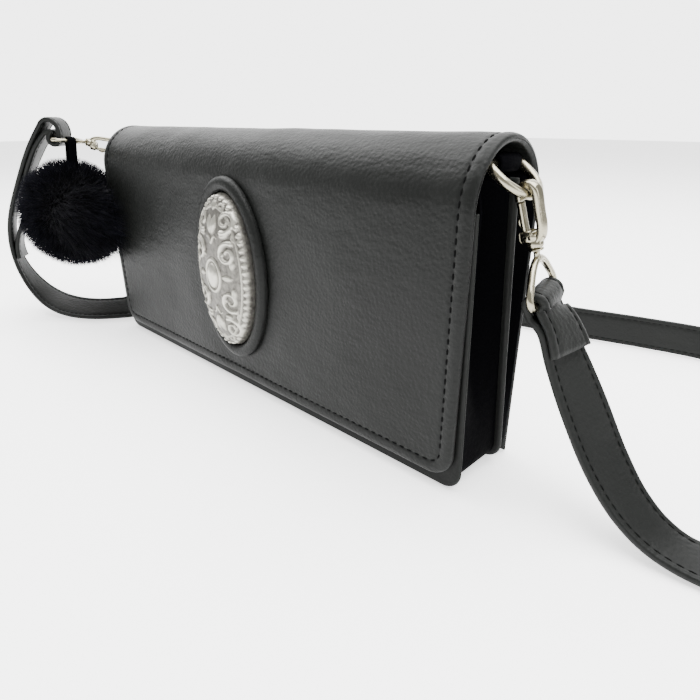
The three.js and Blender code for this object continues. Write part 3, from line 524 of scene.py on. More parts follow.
def set_world():
    """A bright backdrop behind the bag, softer light from everywhere else."""
    n = Nodes(bpy.data.worlds.new("studio"), "Background")
    towards = n.maths("DOT_PRODUCT", n.place("Generated"), BACKDROP_WAY, kind="VectorMath")
    n.set({"Color": (1.0, 1.0, 1.0, 1.0),
           "Strength": n.grey(towards, SOFT_LEVEL, BACKDROP_LEVEL, 0.35, 0.72, "SMOOTHSTEP")})
    bpy.context.scene.world = n.owner


def set_floor():
    mesh = bpy.data.meshes.new("floor")
    corners = [(x * FLOOR_HALF, y * FLOOR_HALF, 0) for x, y in ((-1, -1), (1, -1), (1, 1), (-1, 1))]
    mesh.from_pydata(corners, [], [(0, 1, 2, 3)])
    floor = link_object("floor", mesh)
    floor.location.z = -FLOOR_DROP
    n = new_material("floor_white")
    n.set({"Base Color": n.ramp(n.clouds(n.place(), 3, 2.0), [(0.3, (0.93,) * 3), (0.7, (0.95,) * 3)]),
           "Roughness": 0.9, "Specular IOR Level": 0.1, "Emission Color": (1.0, 1.0, 1.0, 1.0),
           "Emission Strength": FLOOR_GLOW})
    mesh.materials.append(n.owner)


set_camera()
set_world()
for light in LIGHTS:
    area_light(*light)
set_floor()

# ---------- sheets with rounded edges and lower corners
def rolled(edge, radius):
    """Half a sheet's thickness at a distance from its rounded edge."""
    return radius * round_top((1 - np.clip(edge / radius, 0, 1)) ** 2)


def corner_half_width(half_width, corner, rise):
    rise = np.clip(rise, 0, corner)
    return half_width - corner + np.sqrt(corner**2 - (corner - rise) ** 2)


def edge_distance(x, rise, fall, half_width, corner):
    """Distance to the outline, at a rise above the lower edge and a fall below the upper one."""
    across = np.clip(np.abs(x) - (half_width - corner), 0, None)
    down = np.clip(corner - rise, 0, None)
    edge = np.minimum(half_width - np.abs(x), rise)
    edge = np.where((across > 0) & (down > 0), corner - np.hypot(across, down), edge)
    return np.clip(np.minimum(edge, fall), 0, None)


# ---------- wrap: back, top and flap
EDGE_STEPS = np.array([0, 0.1, 0.3, 0.6, 0.95, 1.35, 1.9, 2.6, 3.4, 4.2, 4.7, 5.1, 5.5, 5.9, 6.3, 6.9,
                       7.8, 9.5, 12])
STITCH_INSET = 5.5
STITCH_SINK = 0.18
WRAP_STITCH = (3.9, 2.4, 0.3)  # pitch, length and radius
SEAT_HALF_WIDTH = 33.0
SEAT_HALF_HEIGHT = 54.0
SEAT_DEPTH = 0.35
SPRING_Z = BAG_HEIGHT - ARCH_RISE


def wrap_line():
    """The wrap's middle line (y, z) from the back's foot over the arch to the flap's edge."""
    half = BAG_DEPTH / 2 - WRAP_THICKNESS / 2
    rise = ARCH_RISE - WRAP_THICKNESS / 2
    angles = np.linspace(0, np.pi, 200)
    arch = np.stack([half * np.cos(angles), SPRING_Z + rise * np.sin(angles)], -1)
    return np.concatenate([[[half, 0.3]], arch, [[-half, FLAP_EDGE_Z]]])


WRAP_LINE = wrap_line()
WRAP_MARKS = lengths_along(WRAP_LINE)
WRAP_LENGTH = WRAP_MARKS[-1]


def wrap_places(runs):
    """y, z and outward normals on the wrap's middle surface, at lengths from the back's foot."""
    step = 0.4
    (y, z), ahead, behind = (at_lengths(runs + move, WRAP_MARKS, WRAP_LINE).T for move in (0, step, -step))
    dy, dz = ahead - behind
    size = np.hypot(dy, dz)
    return y, z, np.stack([0 * dy, dz / size, -dy / size], -1)


def wrap_wave(x, y, z, edge):
    """Soft swells, and finer pulls near the top that grow to the right."""
    wave = np.zeros_like(x)
    for i, j in np.ndindex(x.shape):
        spot = (x[i, j], y[i], z[i])
        soft = 0.5 * ripple(spot, 46, 3.1) + 0.22 * ripple(spot, 17, 7.7)
        pull = ripple((x[i, j] * 0.55 + z[i] * 0.4, y[i], z[i] * 2.2), 13, 11.3)
        near_top = bell(z[i], 112, 18) * (0.4 + 0.6 * smooth((x[i, j] + 20) / 110))
        wave[i, j] = smooth((edge[i, j] - 2) / 14) * (soft + 0.2 * pull * near_top)
    return wave


def build_wrap():
    head = WRAP_LENGTH - EDGE_STEPS[::-1]
    runs = np.concatenate([EDGE_STEPS, np.arange(EDGE_STEPS[-1] + 2.4, head[0] - 1.2, 2.4), head])
    y, z, normals = wrap_places(runs)
    to_edge = WRAP_LENGTH - runs
    side = BAG_WIDTH / 2 - EDGE_STEPS
    columns = np.concatenate([-side, np.arange(-side[-1] + 3, side[-1] - 2.9, 3.0), side[::-1]])
    x = corner_half_width(BAG_WIDTH / 2, FLAP_CORNER, to_edge)[:, None] * (columns / (BAG_WIDTH / 2))
    edge = edge_distance(x, to_edge[:, None], runs[:, None], BAG_WIDTH / 2, FLAP_CORNER)
    radius = WRAP_THICKNESS / 2
    thickness = rolled(edge, radius)
    # a raised roll and the stitches' groove along the edge, and a hollow round the medallion
    relief = 0.28 * bell(edge, 3.0, 1.6) - 0.34 * bell(edge, STITCH_INSET, 0.55)
    wave = wrap_wave(x, y, z, edge)
    around = (x / SEAT_HALF_WIDTH) ** 2 + ((z[:, None] - MEDALLION_Z) / SEAT_HALF_HEIGHT) ** 2
    seat = bell(around, 1, 0.35) * ((y < 0) & (z < SPRING_Z))[:, None]
    middle = np.stack([x, y[:, None] + 0 * x, z[:, None] + 0 * x], -1)
    lift = thickness + relief * (edge > radius) + wave - SEAT_DEPTH * seat
    outer = middle + normals[:, None, :] * lift[..., None]
    inner = middle - normals[:, None, :] * (thickness - 0.02)[..., None]
    piece = make_object("wrap_leather", sheet_shell(outer, inner), LEATHER_GREY,
                        "flap_and_back")


def build_wrap_stitches():
    """One running line of stitches up each side and along the flap's lower edge."""
    y, z, normals = wrap_places(np.linspace(5, WRAP_LENGTH - FLAP_CORNER, 220))
    stitches = []
    for sign in (-1, 1):
        line = np.stack([np.full_like(y, sign * (BAG_WIDTH / 2 - STITCH_INSET)), y, z], -1)
        stitches += stitch_shells(line + normals * (WRAP_THICKNESS / 2 - STITCH_SINK), normals, *WRAP_STITCH)
    bend = np.linspace(0, np.pi / 2, 12)
    reach = FLAP_CORNER - STITCH_INSET
    right = np.stack([BAG_WIDTH / 2 - FLAP_CORNER + reach * np.cos(bend),
                      np.full(12, STITCH_SINK - BAG_DEPTH / 2),
                      FLAP_EDGE_Z + FLAP_CORNER - reach * np.sin(bend)], -1)
    line = np.concatenate([right, right[::-1] * [-1, 1, 1]])
    stitches += stitch_shells(line, np.repeat(-Y[None], len(line), 0), *WRAP_STITCH)
    make_object("wrap_stitches", join(stitches), THREAD)


build_wrap()
build_wrap_stitches()


# ---------- front panel and divider
def panel_grid(top_half, height):
    """x, rise and distance to the outline over a panel with rounded lower corners."""
    rises = np.concatenate([[0, 0.15, 0.45, 0.9, 1.5, 2.3, 3.4, 4.8, 6.4, 8], np.arange(11, height - 3, 4.0),
                            height - np.array([2.2, 1.4, 0.8, 0.35, 0])])[:, None]
    side = PANEL_HALF_WIDTH - np.array([0, 0.12, 0.4, 0.8, 1.25, 1.9, 2.8, 4.2, 6.5])
    columns = np.concatenate([-side, np.arange(-side[-1] + 4.0, side[-1], 4.0), side[::-1]])
    half_width = PANEL_HALF_WIDTH + (top_half - PANEL_HALF_WIDTH) * rises / height
    x = corner_half_width(half_width, PANEL_CORNER, rises) * (columns / PANEL_HALF_WIDTH)
    return x, rises + 0 * x, edge_distance(x, rises, height - rises, half_width, PANEL_CORNER)


def build_panel(name, node, top_half, foot, top, base_y, lean, seed):
    x, rise, edge = panel_grid(top_half, top - foot)
    thickness = rolled(edge, PANEL_THICKNESS / 2)
    z = foot + rise
    sway = 0.12 * ripples(x, z, 30, seed) * smooth((edge - 1) / 10)
    front, back = (np.stack([x, base_y - lean * z + sign * thickness + sway, z], -1) for sign in (-1, 1))
    make_object(name, sheet_shell(front, back), LEATHER_EDGE, node)


FRONT_PANEL_Y = WRAP_THICKNESS - BAG_DEPTH / 2 + GAP
build_panel("front_wall", "front_panel", PANEL_TOP_HALF_WIDTH, 0.1, PANEL_TOP,
            FRONT_PANEL_Y + PANEL_THICKNESS / 2, 0.0, 5.2)
build_panel("divider_wall", "divider_panel", PANEL_HALF_WIDTH, 0.2, DIVIDER_TOP,
            DIVIDER_FOOT_Y, DIVIDER_LEAN, 9.4)


# ---------- gussets
GUSSET_LEATHER = 1.4


def build_gusset(name, node, front_y, rear_y, depth, front_top, rear_top, seed):
    """One strip down an end, along the floor and up the other end, folded in along its middle."""
    shares = np.concatenate([[0, 0.02, 0.05], np.linspace(0.09, 0.91, 21), [0.95, 0.98, 1]])
    crease = 1 - np.abs(2 * shares - 1)
    soft = np.where(crease > 0.86, 0.86 + 0.07 * (1 - ((1 - crease) / 0.14) ** 2), crease)
    soft = np.where(crease < 0.1, crease * 0.8, soft)
    edge_top = front_top + (rear_top - front_top) * shares
    top = edge_top + (GUSSET_TOP - edge_top) * np.minimum(1, 3 * crease)
    reach = GUSSET_HALF_WIDTH - GUSSET_CORNER
    # each station: its place from end to end (-1 to 1), the turn from wall to floor, the share of height
    end = [(0, share) for share in np.linspace(1, 0, 46)]
    end += [(angle, 0) for angle in np.linspace(0, np.pi / 2, 10)[1:]]
    stations = [(-1, *values) for values in end]
    stations += [(place, np.pi / 2, 0) for place in np.linspace(-1, 1, 30)[1:-1]]
    stations += [(1, *values) for values in end[::-1]]
    outer, inner = [], []
    for place, angle, share in stations:
        inward = np.array([-np.sign(place) * math.cos(angle), 0.0, math.sin(angle)])
        x = np.full_like(shares, place * reach - GUSSET_CORNER * inward[0])
        z = GUSSET_CORNER * (1 - inward[2]) + (top - GUSSET_CORNER) * share
        y = front_y(z) + (rear_y(z) - front_y(z)) * shares
        fold = depth * smooth((z - GUSSET_CORNER) / 75) * soft
        if angle == 0:
            wobble = np.array([ripple((place * 50, b * 1.6, c * 0.5), 9, seed) for b, c in zip(y, z)])
            fold = np.clip(fold + 0.55 * wobble * smooth((z - 12) / 25) * smooth(crease * 4), 0, None)
        skin = np.stack([x, y, z], -1) + inward * fold[:, None]
        outer.append(skin)
        inner.append(skin + inward * GUSSET_LEATHER)
    make_object(name, sheet_shell(np.array(outer), np.array(inner)), LEATHER_BLACK, node)


# the gussets are sewn in, so no light shows through their seams
SEAM_GAP = 0.06
HALF_RUN = PANEL_THICKNESS / 2 + SEAM_GAP + 0.05


def divider_y(z):
    return DIVIDER_FOOT_Y - DIVIDER_LEAN * z


build_gusset("gusset_front_leather", "gusset_front",
             lambda z: 0 * z + FRONT_PANEL_Y + PANEL_THICKNESS + SEAM_GAP,
             lambda z: divider_y(z) - HALF_RUN, 12, PANEL_TOP, GUSSET_TOP, 2.2)
build_gusset("gusset_rear_leather", "gusset_rear",
             lambda z: divider_y(z) + HALF_RUN,
             lambda z: 0 * z + BAG_DEPTH / 2 - WRAP_THICKNESS - SEAM_GAP, 10, GUSSET_TOP, PANEL_TOP, 6.8)

# ---------- D-rings and tabs
BARS = {side: np.array([x, 0, RING_BAR_Z]) for side, x in (("right", RIGHT_BAR_X), ("left", LEFT_BAR_X))}
HANGS = {"right": unit([0.78, 0, -0.626]), "left": unit([-0.97, 0, -0.24])}


def build_d_ring(side):
    stations = [(y, 0) for y in np.linspace(RING_HALF_BAR - 2, 2 - RING_HALF_BAR, 5)]
    stations += [(0.5 - RING_HALF_BAR, 0.6), (-RING_HALF_BAR, RING_LEG / 2)]
    stations += [(RING_HALF_BAR * math.cos(a), RING_LEG + RING_ARC * math.sin(a))
                 for a in np.linspace(np.pi, 0, 15)]
    stations += [(RING_HALF_BAR, RING_LEG / 2), (RING_HALF_BAR - 0.5, 0.6)]
    hang = HANGS[side]
    path = spline([BARS[side] + hang * drop + Y * y for y, drop in stations], 96, closed=True)
    shell = flat_sweep(path, unit(np.cross(hang, Y)), round_section(RING_WIRE, RING_WIRE, 16), closed=True)
    make_object(f"d_ring_{side}_wire", shell, NICKEL, f"d_ring_{side}")


def bow_point(side, angle):
    return (BARS[side] + HANGS[side] * (RING_LEG + RING_ARC * math.sin(angle))
            - Y * RING_HALF_BAR * math.cos(angle))


def build_tab(side):
    """A strip of leather wrapped round the bar, its two layers sewn together as a tongue."""
    sign = 1 if side == "right" else -1
    middle = RING_WIRE + GAP + 0.1 + TAB_LEATHER / 2
    foot = DIVIDER_TOP + 0.75
    under = [(x, foot + TAB_LEATHER / 2) for x in (-16, -10, -5)]
    bend = [(middle * math.sin(a), RING_BAR_Z - middle * math.cos(a))
            for a in np.linspace(0.1, 1.75 * np.pi * 0.92, 14)]
    over = [(x, foot + layers * TAB_LEATHER) for x, layers in ((-5, 1.62), (-10, 1.55), (-16, 1.55))]
    path = spline([(BARS[side][0] + sign * x, 0, z) for x, z in under + bend + over], 70)
    half, width = TAB_LEATHER / 2 * 0.96, TAB_WIDTH / 2
    section = [(half * 0.5, -width), (half, -width + 0.4), (half, width - 0.4), (half * 0.5, width)]
    section += [(-a, b) for a, b in section[::-1]]
    make_object(f"ring_tab_{side}_leather", flat_sweep(path, Y, section), LEATHER_BLACK,
                f"ring_tab_{side}")


for build in (build_d_ring, build_tab):
    for side_name in ("right", "left"):
        build(side_name)

# ---------- swivel snap hooks
GRIP_OFFSET = HOOK_RADIUS - HOOK_HALF_IN - RING_WIRE - GRIP_SLACK
HOOKS = {
    "right": dict(grip=bow_point("right", 1.3), down=unit([7.8, 4.6, -34]),
                  spine=[0.965, -0.167, 0.2], eye_face=[0.98, 0.17, 0]),
    "left": dict(grip=bow_point("left", 1.0), down=unit([-0.64, -0.76, 0.13]),
                 spine=[0, 0, 1], eye_face=[0, 0, 1]),
}


def local_frame(origin, z_axis, x_hint):
    x_axis = perpendicular(x_hint, z_axis)
    basis = np.stack([x_axis, np.cross(z_axis, x_axis), z_axis])
    return lambda points: origin + np.asarray(points, float) @ basis


def pin_shell(profile, sides):
    """A turned body about the gate's pin."""
    points, faces = lathe_shell(profile, sides)
    return outward(np.stack([points[:, 0] + PIN_X, points[:, 2], points[:, 1] + PIN_Z], -1), faces)


def rounded_box(centre, size, radius):
    hx, hy, hz = np.asarray(size) / 2
    section = []
    for right, up, start in ((1, 1, 0), (-1, 1, 90), (-1, -1, 180), (1, -1, 270)):
        cx, cz = right * (hx - radius), up * (hz - radius)
        for a in np.radians(start + np.array([0, 30, 60, 90])):
            section.append((cx + radius * math.cos(a), cz + radius * math.sin(a)))
    ys = np.array([-hy, -hy + radius * 0.3, -hy + radius, hy - radius, hy - radius * 0.3, hy])
    shrink = 1 - np.array([0.16, 0.05, 0, 0, 0.05, 0.16]) * radius / max(hx, hz) * 2
    return sweep_shell(np.array(centre) + Y * ys[:, None], X[None], Z[None], section, scales=shrink)


def crook_shell():
    """The spine and the crook."""
    stations = [(0.9, 0, BARREL_TOP - 2.6), (2.5, 0, BARREL_TOP - 1.2), (HOOK_RADIUS, 0, -10.8),
                (HOOK_RADIUS, 0, -5)]
    stations += [(HOOK_RADIUS * math.cos(a), 0, HOOK_RADIUS * math.sin(a)) for a in np.linspace(0, np.pi, 11)]
    path = spline([*stations, (-HOOK_RADIUS, 0, TIP_Z)], 72)
    travel = np.linspace(0, 1, len(path))
    taper = 1.0 - 0.1 * smooth((travel - 0.8) / 0.2) + 0.04 * bell(travel, 0.62, 0.16)
    return flat_sweep(path, Y, squared_section(HOOK_HALF_IN, HOOK_HALF_OUT, 20), scales=taper)


def barrel_shell():
    top, foot, wide = BARREL_TOP, BARREL_FOOT, BARREL_RADIUS
    return lathe_shell([(wide - 0.6, top), (wide - 0.2, top - 0.2), (wide, top - 0.6), (wide, top - 1.7),
                        (wide - 0.3, top - 2.0), (wide - 0.3, top - 2.3), (wide, top - 2.6),
                        (wide, foot + 0.7), (wide - 0.2, foot + 0.2), (wide - 0.7, foot)], 28)


def post_shell():
    """The swivel's post and its collar."""
    wide, top, foot = COLLAR_RADIUS, COLLAR_TOP, COLLAR_FOOT
    return lathe_shell([(1.0, BARREL_FOOT + 1.2), (1.1, BARREL_FOOT + 0.9), (1.1, top), (wide - 0.25, top),
                        (wide, top - 0.2), (wide, foot + 0.2), (wide - 0.25, foot), (1.15, foot - 0.1),
                        (1.05, -19.8), (1.2, EYE_TOP + 0.8), (1.5, EYE_TOP)], 20)


def eye_shell():
    outline = [(0, EYE_TOP), *EYE_HALF, (5, EYE_BAR), (0, EYE_BAR), (-5, EYE_BAR)]
    outline += [(-a, b) for a, b in EYE_HALF[::-1]]
    path = spline([(0, a, b) for a, b in outline], 84, closed=True)
    return flat_sweep(path, X, round_section(EYE_WIRE, EYE_WIRE, 14), closed=True)


def gate_shells():
    """The sprung lever, its knuckle and pin, and the thumb piece."""
    lever = spline([(PIN_X, 0, PIN_Z), (PIN_X - 0.35, 0, -9.8), (-3.3, 0, -5.5),
                    (-HOOK_RADIUS, 0, TIP_Z - GAP - 0.1)], 26)
    thumb = spline([(-3.5, 0, THUMB_Z - 2.4), (-4.1, 0, THUMB_Z - 1.2), (-4.35, 0, THUMB_Z),
                    (-4.1, 0, THUMB_Z + 1.2), (-3.5, 0, THUMB_Z + 2.4)], 18)
    swell = 0.35 + 0.65 * np.sin(np.linspace(0.15, np.pi - 0.15, len(thumb)))
    return [flat_sweep(lever, Y, squared_section(1.0, 1.4, 16)),
            pin_shell([(1.35, -1.4), (1.5, -1.2), (1.5, 1.2), (1.35, 1.4)], 20),
            pin_shell([(0.5, -2.4), (0.7, -2.2), (0.7, 2.2), (0.5, 2.4)], 14),
            flat_sweep(thumb, Y, round_section(0.9, 1.4, 14), scales=swell)]


def build_hook(side, hook):
    up = -hook["down"]
    origin = hook["grip"] + hook["down"] * GRIP_OFFSET
    place = local_frame(origin, up, hook["spine"])
    turn = local_frame(origin, up, hook["eye_face"])
    hook["bar"] = origin - hook["down"] * EYE_BAR
    hook["turn"] = turn
    hook["eye_width"] = np.cross(perpendicular(hook["eye_face"], up), hook["down"])
    # two cheeks hold the gate's pin, and a bridge joins them
    cheeks = [rounded_box((PIN_X + 1.2, y, PIN_Z - 0.4), (4.8, 0.86, 3.6), 0.8) for y in (-2.16, 2.16)]
    bridge = rounded_box((0.1, 0, PIN_Z - 0.4), (2.0, 4.4, 3.4), 0.5)
    for part, shells, move, body in (
            ("body", [crook_shell(), barrel_shell(), *cheeks, bridge], place, "root"),
            ("gate", gate_shells(), place, f"gate_{side}"),
            ("swivel", [post_shell(), eye_shell()], turn, "root")):
        make_object(f"hook_{side}_{part}", join(shells, move), NICKEL, f"hook_{part}_{side}", body)


for side_name, side_hook in HOOKS.items():
    build_hook(side_name, side_hook)

# ---------- strap
STRAP_EDGE_Z = 10.4
# x, y, z of the middle line and the direction of the width: down from the right hook, round behind the
# bag on its edge, and up in a riser and an arch to the left hook
STRAP_ROUTE = np.array([
    (155.3, 2, 69.8, 0, 0.99, 0.05),
    (161.8, 2.2, 58.6, 0.2, 0.97, 0.1),
    (170.4, 2, 43.8, 0.32, 0.93, 0.16),
    (181.4, 2, 25.6, 0.3, 0.94, 0.14),
    (191.4, 2, 13.4, 0.2, 0.97, 0.1),
    (201.2, 2.2, 6.2, 0.1, 0.99, 0.04),
    (212, 3, 2.7, 0, 1, 0),
    (226, 5, 3.3, -0.05, 0.98, 0.15),
    (243, 8.5, 7.2, -0.15, 0.8, 0.55),
    (262, 15, 10.1, -0.1, 0.4, 0.9),
    *[(x, y, STRAP_EDGE_Z, 0, 0, 1) for x, y in (
        (284, 28), (302, 52), (309, 84), (303, 117), (284, 148), (254, 174), (214, 189),
        (172, 192), (138, 186), (104, 177), (60, 167), (10, 155), (-40, 134), (-85, 104))],
    (-122, 68, STRAP_EDGE_Z, -0.05, 0.05, 1),
    (-143, 34, 10.1, -0.3, 0.2, 0.9),
    (-152, 4, 8, -0.62, 0.4, 0.6),
    (-159.5, -21, 6.4, -0.62, 0.62, 0.45),
    (-176, -37.5, 6.3, -0.56, 0.66, 0.45),
    (-196, -46.5, 7.7, -0.6, 0.66, 0.35),
    (-211, -51, 13.6, -0.66, 0.7, 0.2),
    (-219, -56.5, 24, -0.76, 0.62, 0.05),
    (-223.2, -60.2, 37, -0.85, 0.5, 0),
    (-224.6, -61.5, 53, -0.9, 0.43, 0),
    (-217.9, -58.7, 72.4, -0.9, 0.43, 0),
    (-206, -53.9, 89.9, -0.88, 0.48, 0),
    (-196.5, -48, 106.7, -0.84, 0.54, 0),
    (-189.2, -45.3, 116.3, -0.81, 0.58, 0),
    (-183.2, -43.1, 122.4, -0.79, 0.61, 0),
    (-181.1, -40.9, 127.1, -0.78, 0.63, 0),
    (-178.5, -37.8, 131.7, -0.77, 0.64, 0),
    (-175.3, -34, 134.5, -0.765, 0.644, 0),
    (-172.5, -30.6, 132.3, -0.765, 0.644, 0),
])
STRAP_STEPS = 620
RISER_FIRST, RISER_LAST, RISER_PASSES = -132, -12, 110
TAIL_FIRST, TAIL_LAST, TAIL_PASSES = 3, 20, 90
BEND_STEPS = 18
RIGHT_PULL = np.array([0.5, 0, -0.85])
RIGHT_SIDE = np.array([-0.9, 0.35, -0.5])
LEFT_PULL = np.array([0.1, 0.09, 0.99])
WRAP_RADIUS = EYE_WIRE + GAP + WRAP_SLACK + STRAP_THICKNESS / 2
LAYER_PITCH = STRAP_THICKNESS + GAP
STRAP_GROOVE = STRAP_WIDTH / 2 - 2.6
STRAP_STITCH = (3.6, 2.5, 0.22)  # pitch, length and radius
STRAP_STITCH_SINK = 0.16


def facing(vector, towards):
    return -vector if np.dot(vector, towards) < 0 else vector


def end_frame(hook, pull, away, station):
    width = facing(unit(hook["eye_width"]), station[3:])
    run = perpendicular(pull, width)
    return dict(bar=hook["bar"], run=run, side=facing(np.cross(run, width), away), width=width)


def end_station(end, run):
    return np.concatenate([end["bar"] + end["side"] * WRAP_RADIUS + end["run"] * run, end["width"]])


def wrap_bend(end):
    """Half a turn of the strap round the eye's bar."""
    rows = []
    for angle in np.linspace(0, np.pi, BEND_STEPS + 1)[1:]:
        reach = end["side"] * WRAP_RADIUS * math.cos(angle) - end["run"] * WRAP_RADIUS * math.sin(angle)
        rows.append(np.concatenate([end["bar"] + reach, end["width"]]))
    return rows


def tail_rows(end, run, length, bow):
    """The turned-back end, which lies on the strap and bows away from it by up to bow."""
    rows, travelled, normal = [], 0.0, -end["side"]
    for i in range(1, len(run) - 1):
        travelled += np.linalg.norm(run[i, :3] - run[i - 1, :3])
        if travelled >= length:
            break
        tangent = unit(run[i + 1, :3] - run[i - 1, :3])
        normal = facing(unit(np.cross(tangent, run[i, 3:])), normal)
        parting = (2 * WRAP_RADIUS - LAYER_PITCH) * (1 - smooth(travelled / TAIL_MERGE))
        share = np.clip((travelled / length - 0.42) / 0.56, 0, 1)
        lift = LAYER_PITCH + parting + bow * math.sin(math.pi * share) ** 2
        rows.append(np.concatenate([run[i, :3] + normal * lift, run[i, 3:]]))
    return rows


def strap_rows():
    """The whole strap: both turned-back ends, the bends round the eyes and the run between them."""
    right = end_frame(HOOKS["right"], RIGHT_PULL, RIGHT_SIDE, STRAP_ROUTE[0])
    left = end_frame(HOOKS["left"], LEFT_PULL, -HOOKS["left"]["down"], STRAP_ROUTE[-1])
    run = spline([end_station(right, 0), end_station(right, 4), *STRAP_ROUTE,
                  end_station(left, 5), end_station(left, 0)], STRAP_STEPS)
    # the riser to the left hook bends evenly
    first, last = RISER_FIRST, RISER_LAST
    for _ in range(RISER_PASSES):
        run[first:last] = 0.5 * run[first:last] + 0.25 * (run[first - 1:last - 1] + run[first + 1:last + 1])
    right_tail = tail_rows(right, run, RIGHT_TAIL, 0)
    left_tail = tail_rows(left, run[::-1], LEFT_TAIL, LEFT_TAIL_BOW)
    # the loose end takes the easy way across the inside of the arch
    for _ in range(TAIL_PASSES):
        for i in range(TAIL_FIRST, TAIL_LAST):
            left_tail[i] = 0.5 * left_tail[i] + 0.25 * (left_tail[i - 1] + left_tail[i + 1])
    return np.array([*right_tail[::-1], *wrap_bend(right)[::-1], *run, *wrap_bend(left), *left_tail])


def build_strap():
    rows = strap_rows()
    path = rows[:, :3]
    ways = tangents(path)
    us = np.array([perpendicular(width, way) for width, way in zip(rows[:, 3:], ways)])
    for i in range(1, len(us)):
        us[i] = facing(us[i], us[i - 1])
    vs = np.cross(ways, us)
    half, thick, groove = STRAP_WIDTH / 2, STRAP_THICKNESS / 2, STRAP_GROOVE
    upper = [(half, 0.0), (half - 0.12, thick * 0.55), (half - 0.45, thick * 0.86), (half - 1.0, thick),
             (half - 1.9, thick), (groove, thick - 0.28), (groove - 0.7, thick - 0.02),
             (groove - 2.2, thick + 0.06), (2.5, thick + 0.1), (0.0, thick + 0.1)]
    top = upper + [(-a, b) for a, b in upper[-2::-1]]
    section = top + [(a, -b) for a, b in top[-2:0:-1]]
    make_object("strap_leather", sweep_shell(path, us, vs, section), LEATHER_STRAP, "strap")
    stitches = []
    for edge in (-1, 1):
        for face in (-1, 1):
            line = path + us * edge * groove + vs * face * (thick - STRAP_STITCH_SINK)
            stitches += stitch_shells(line[2:-2], vs[2:-2] * face, *STRAP_STITCH)
    make_object("strap_stitches", join(stitches), THREAD_GREY)


build_strap()

# ---------- medallion and bezel
FLAP_FACE_Y = -BAG_DEPTH / 2 - GAP
RELIEF_FULL = 1.25
# x, z, radius, start angle, turns, width and height of each scroll
SCROLLS = [(8.8, 26.5, 5.4, -1.9, 1.3, 1.15, 1.3), (11.2, 11.5, 5.6, 1.2, 1.25, 1.2, 1.4),
           (4.6, 32.4, 2.2, -0.6, 1.0, 0.6, 0.8), (15.4, 19.4, 2.2, 2.4, 1.0, 0.6, 0.7)]
# x, z, angle, length, width and height of each leaf
LEAVES = [(0.4, 20, 1.35, 9.5, 2.1, 1.2), (5.5, 19.5, 0.25, 6.5, 1.6, 1.0), (13.6, 4.2, 1.5, 5.4, 1.5, 0.9),
          (4.8, 9.2, 0.6, 5.2, 1.5, 1.0), (0.2, 31.0, 1.45, 4.8, 1.4, 0.8), (9.6, 31.2, -0.9, 3.6, 1.1, 0.7),
          (6.6, 0.0, 0.0, 7.4, 1.5, 1.0)]
BEAD_COUNT = 52
BEAD_INSET = 1.55
BEAD_RADIUS = 1.15
BEAD_HEIGHT = 1.05


def oval(angles, offset=0.0):
    """x and z on the medallion's outline, moved out by an offset."""
    return (MEDALLION_HALF_WIDTH + offset) * np.cos(angles), (MEDALLION_HALF_HEIGHT + offset) * np.sin(angles)


def oval_reach(x, z, half_width=MEDALLION_HALF_WIDTH, half_height=MEDALLION_HALF_HEIGHT):
    """Squared distance from the middle, 1 on the oval's outline."""
    return (x / half_width) ** 2 + (z / half_height) ** 2


def dome(x, z):
    return MEDALLION_RIM + MEDALLION_DOME * round_top(np.minimum(oval_reach(x, z), 1) ** 1.15)


def spiral_line(cx, cz, radius, start, turns):
    share = np.linspace(0, 1, 80)
    angle = start + share * turns * 2 * np.pi
    reach = radius * (1 - 0.8 * share)
    return np.stack([cx + reach * np.cos(angle), cz + reach * np.sin(angle)], -1)


def ridge(x, z, line, width, height):
    """A raised rounded cord along a line, which tapers to its end."""
    squares = np.array([(x - cx) ** 2 + (z - cz) ** 2 for cx, cz in line])
    taper = 1 - 0.45 * (squares.argmin(0) / (len(line) - 1))
    return height * taper * round_top(squares.min(0) / (width * taper) ** 2)


def leaf(x, z, cx, cz, angle, length, width, height):
    ca, sa = math.cos(angle), math.sin(angle)
    t = ((x - cx) * ca + (z - cz) * sa) / length
    v = -(x - cx) * sa + (z - cz) * ca
    swell = np.sin(np.pi * np.clip(t, 0, 1))
    edge = width * swell**0.8
    inside = (t > 0) & (t < 1) & (np.abs(v) < edge)
    body = round_top((v / np.maximum(edge, 1e-3)) ** 2) * swell**0.5
    return np.where(inside, height * body * (1 - 0.35 * bell(v, 0, 0.22)), 0)


def medallion_relief(x, z):
    """Scrollwork mirrored both ways: spirals, leaves, a central boss and a beaded border."""
    ax, az = np.abs(x), np.abs(z)
    stem = np.stack([np.linspace(0, 3.6, 30), 16 + 3.2 * np.sin(np.linspace(0, 2.2, 30))], -1)
    boss = 2.4 * round_top(oval_reach(x, z, 4.2, 6.4))
    collar = 0.85 * round_top(((np.sqrt(oval_reach(x, z, 5.6, 7.9)) - 1) / 0.13) ** 2)
    inner_line = 0.55 * round_top(((np.sqrt(oval_reach(x, z)) - 0.855) / 0.018) ** 2)
    # beads evenly spaced by length
    marks = np.linspace(0, 2 * np.pi, 721)
    run = lengths_along(np.stack(oval(marks, -BEAD_INSET), -1))
    beads = oval(np.interp(np.arange(BEAD_COUNT) / BEAD_COUNT * run[-1], run, marks), -BEAD_INSET)
    near = np.min([(x - cx) ** 2 + (z - cz) ** 2 for cx, cz in zip(*beads)], axis=0)
    border = BEAD_HEIGHT * round_top(near / BEAD_RADIUS**2)
    return np.maximum.reduce([
        boss, collar, inner_line, border, ridge(ax, az, stem, 0.8, 0.8),
        *[ridge(ax, az, spiral_line(*values), width, height) for *values, width, height in SCROLLS],
        *[leaf(ax, az, *values) for values in LEAVES]])


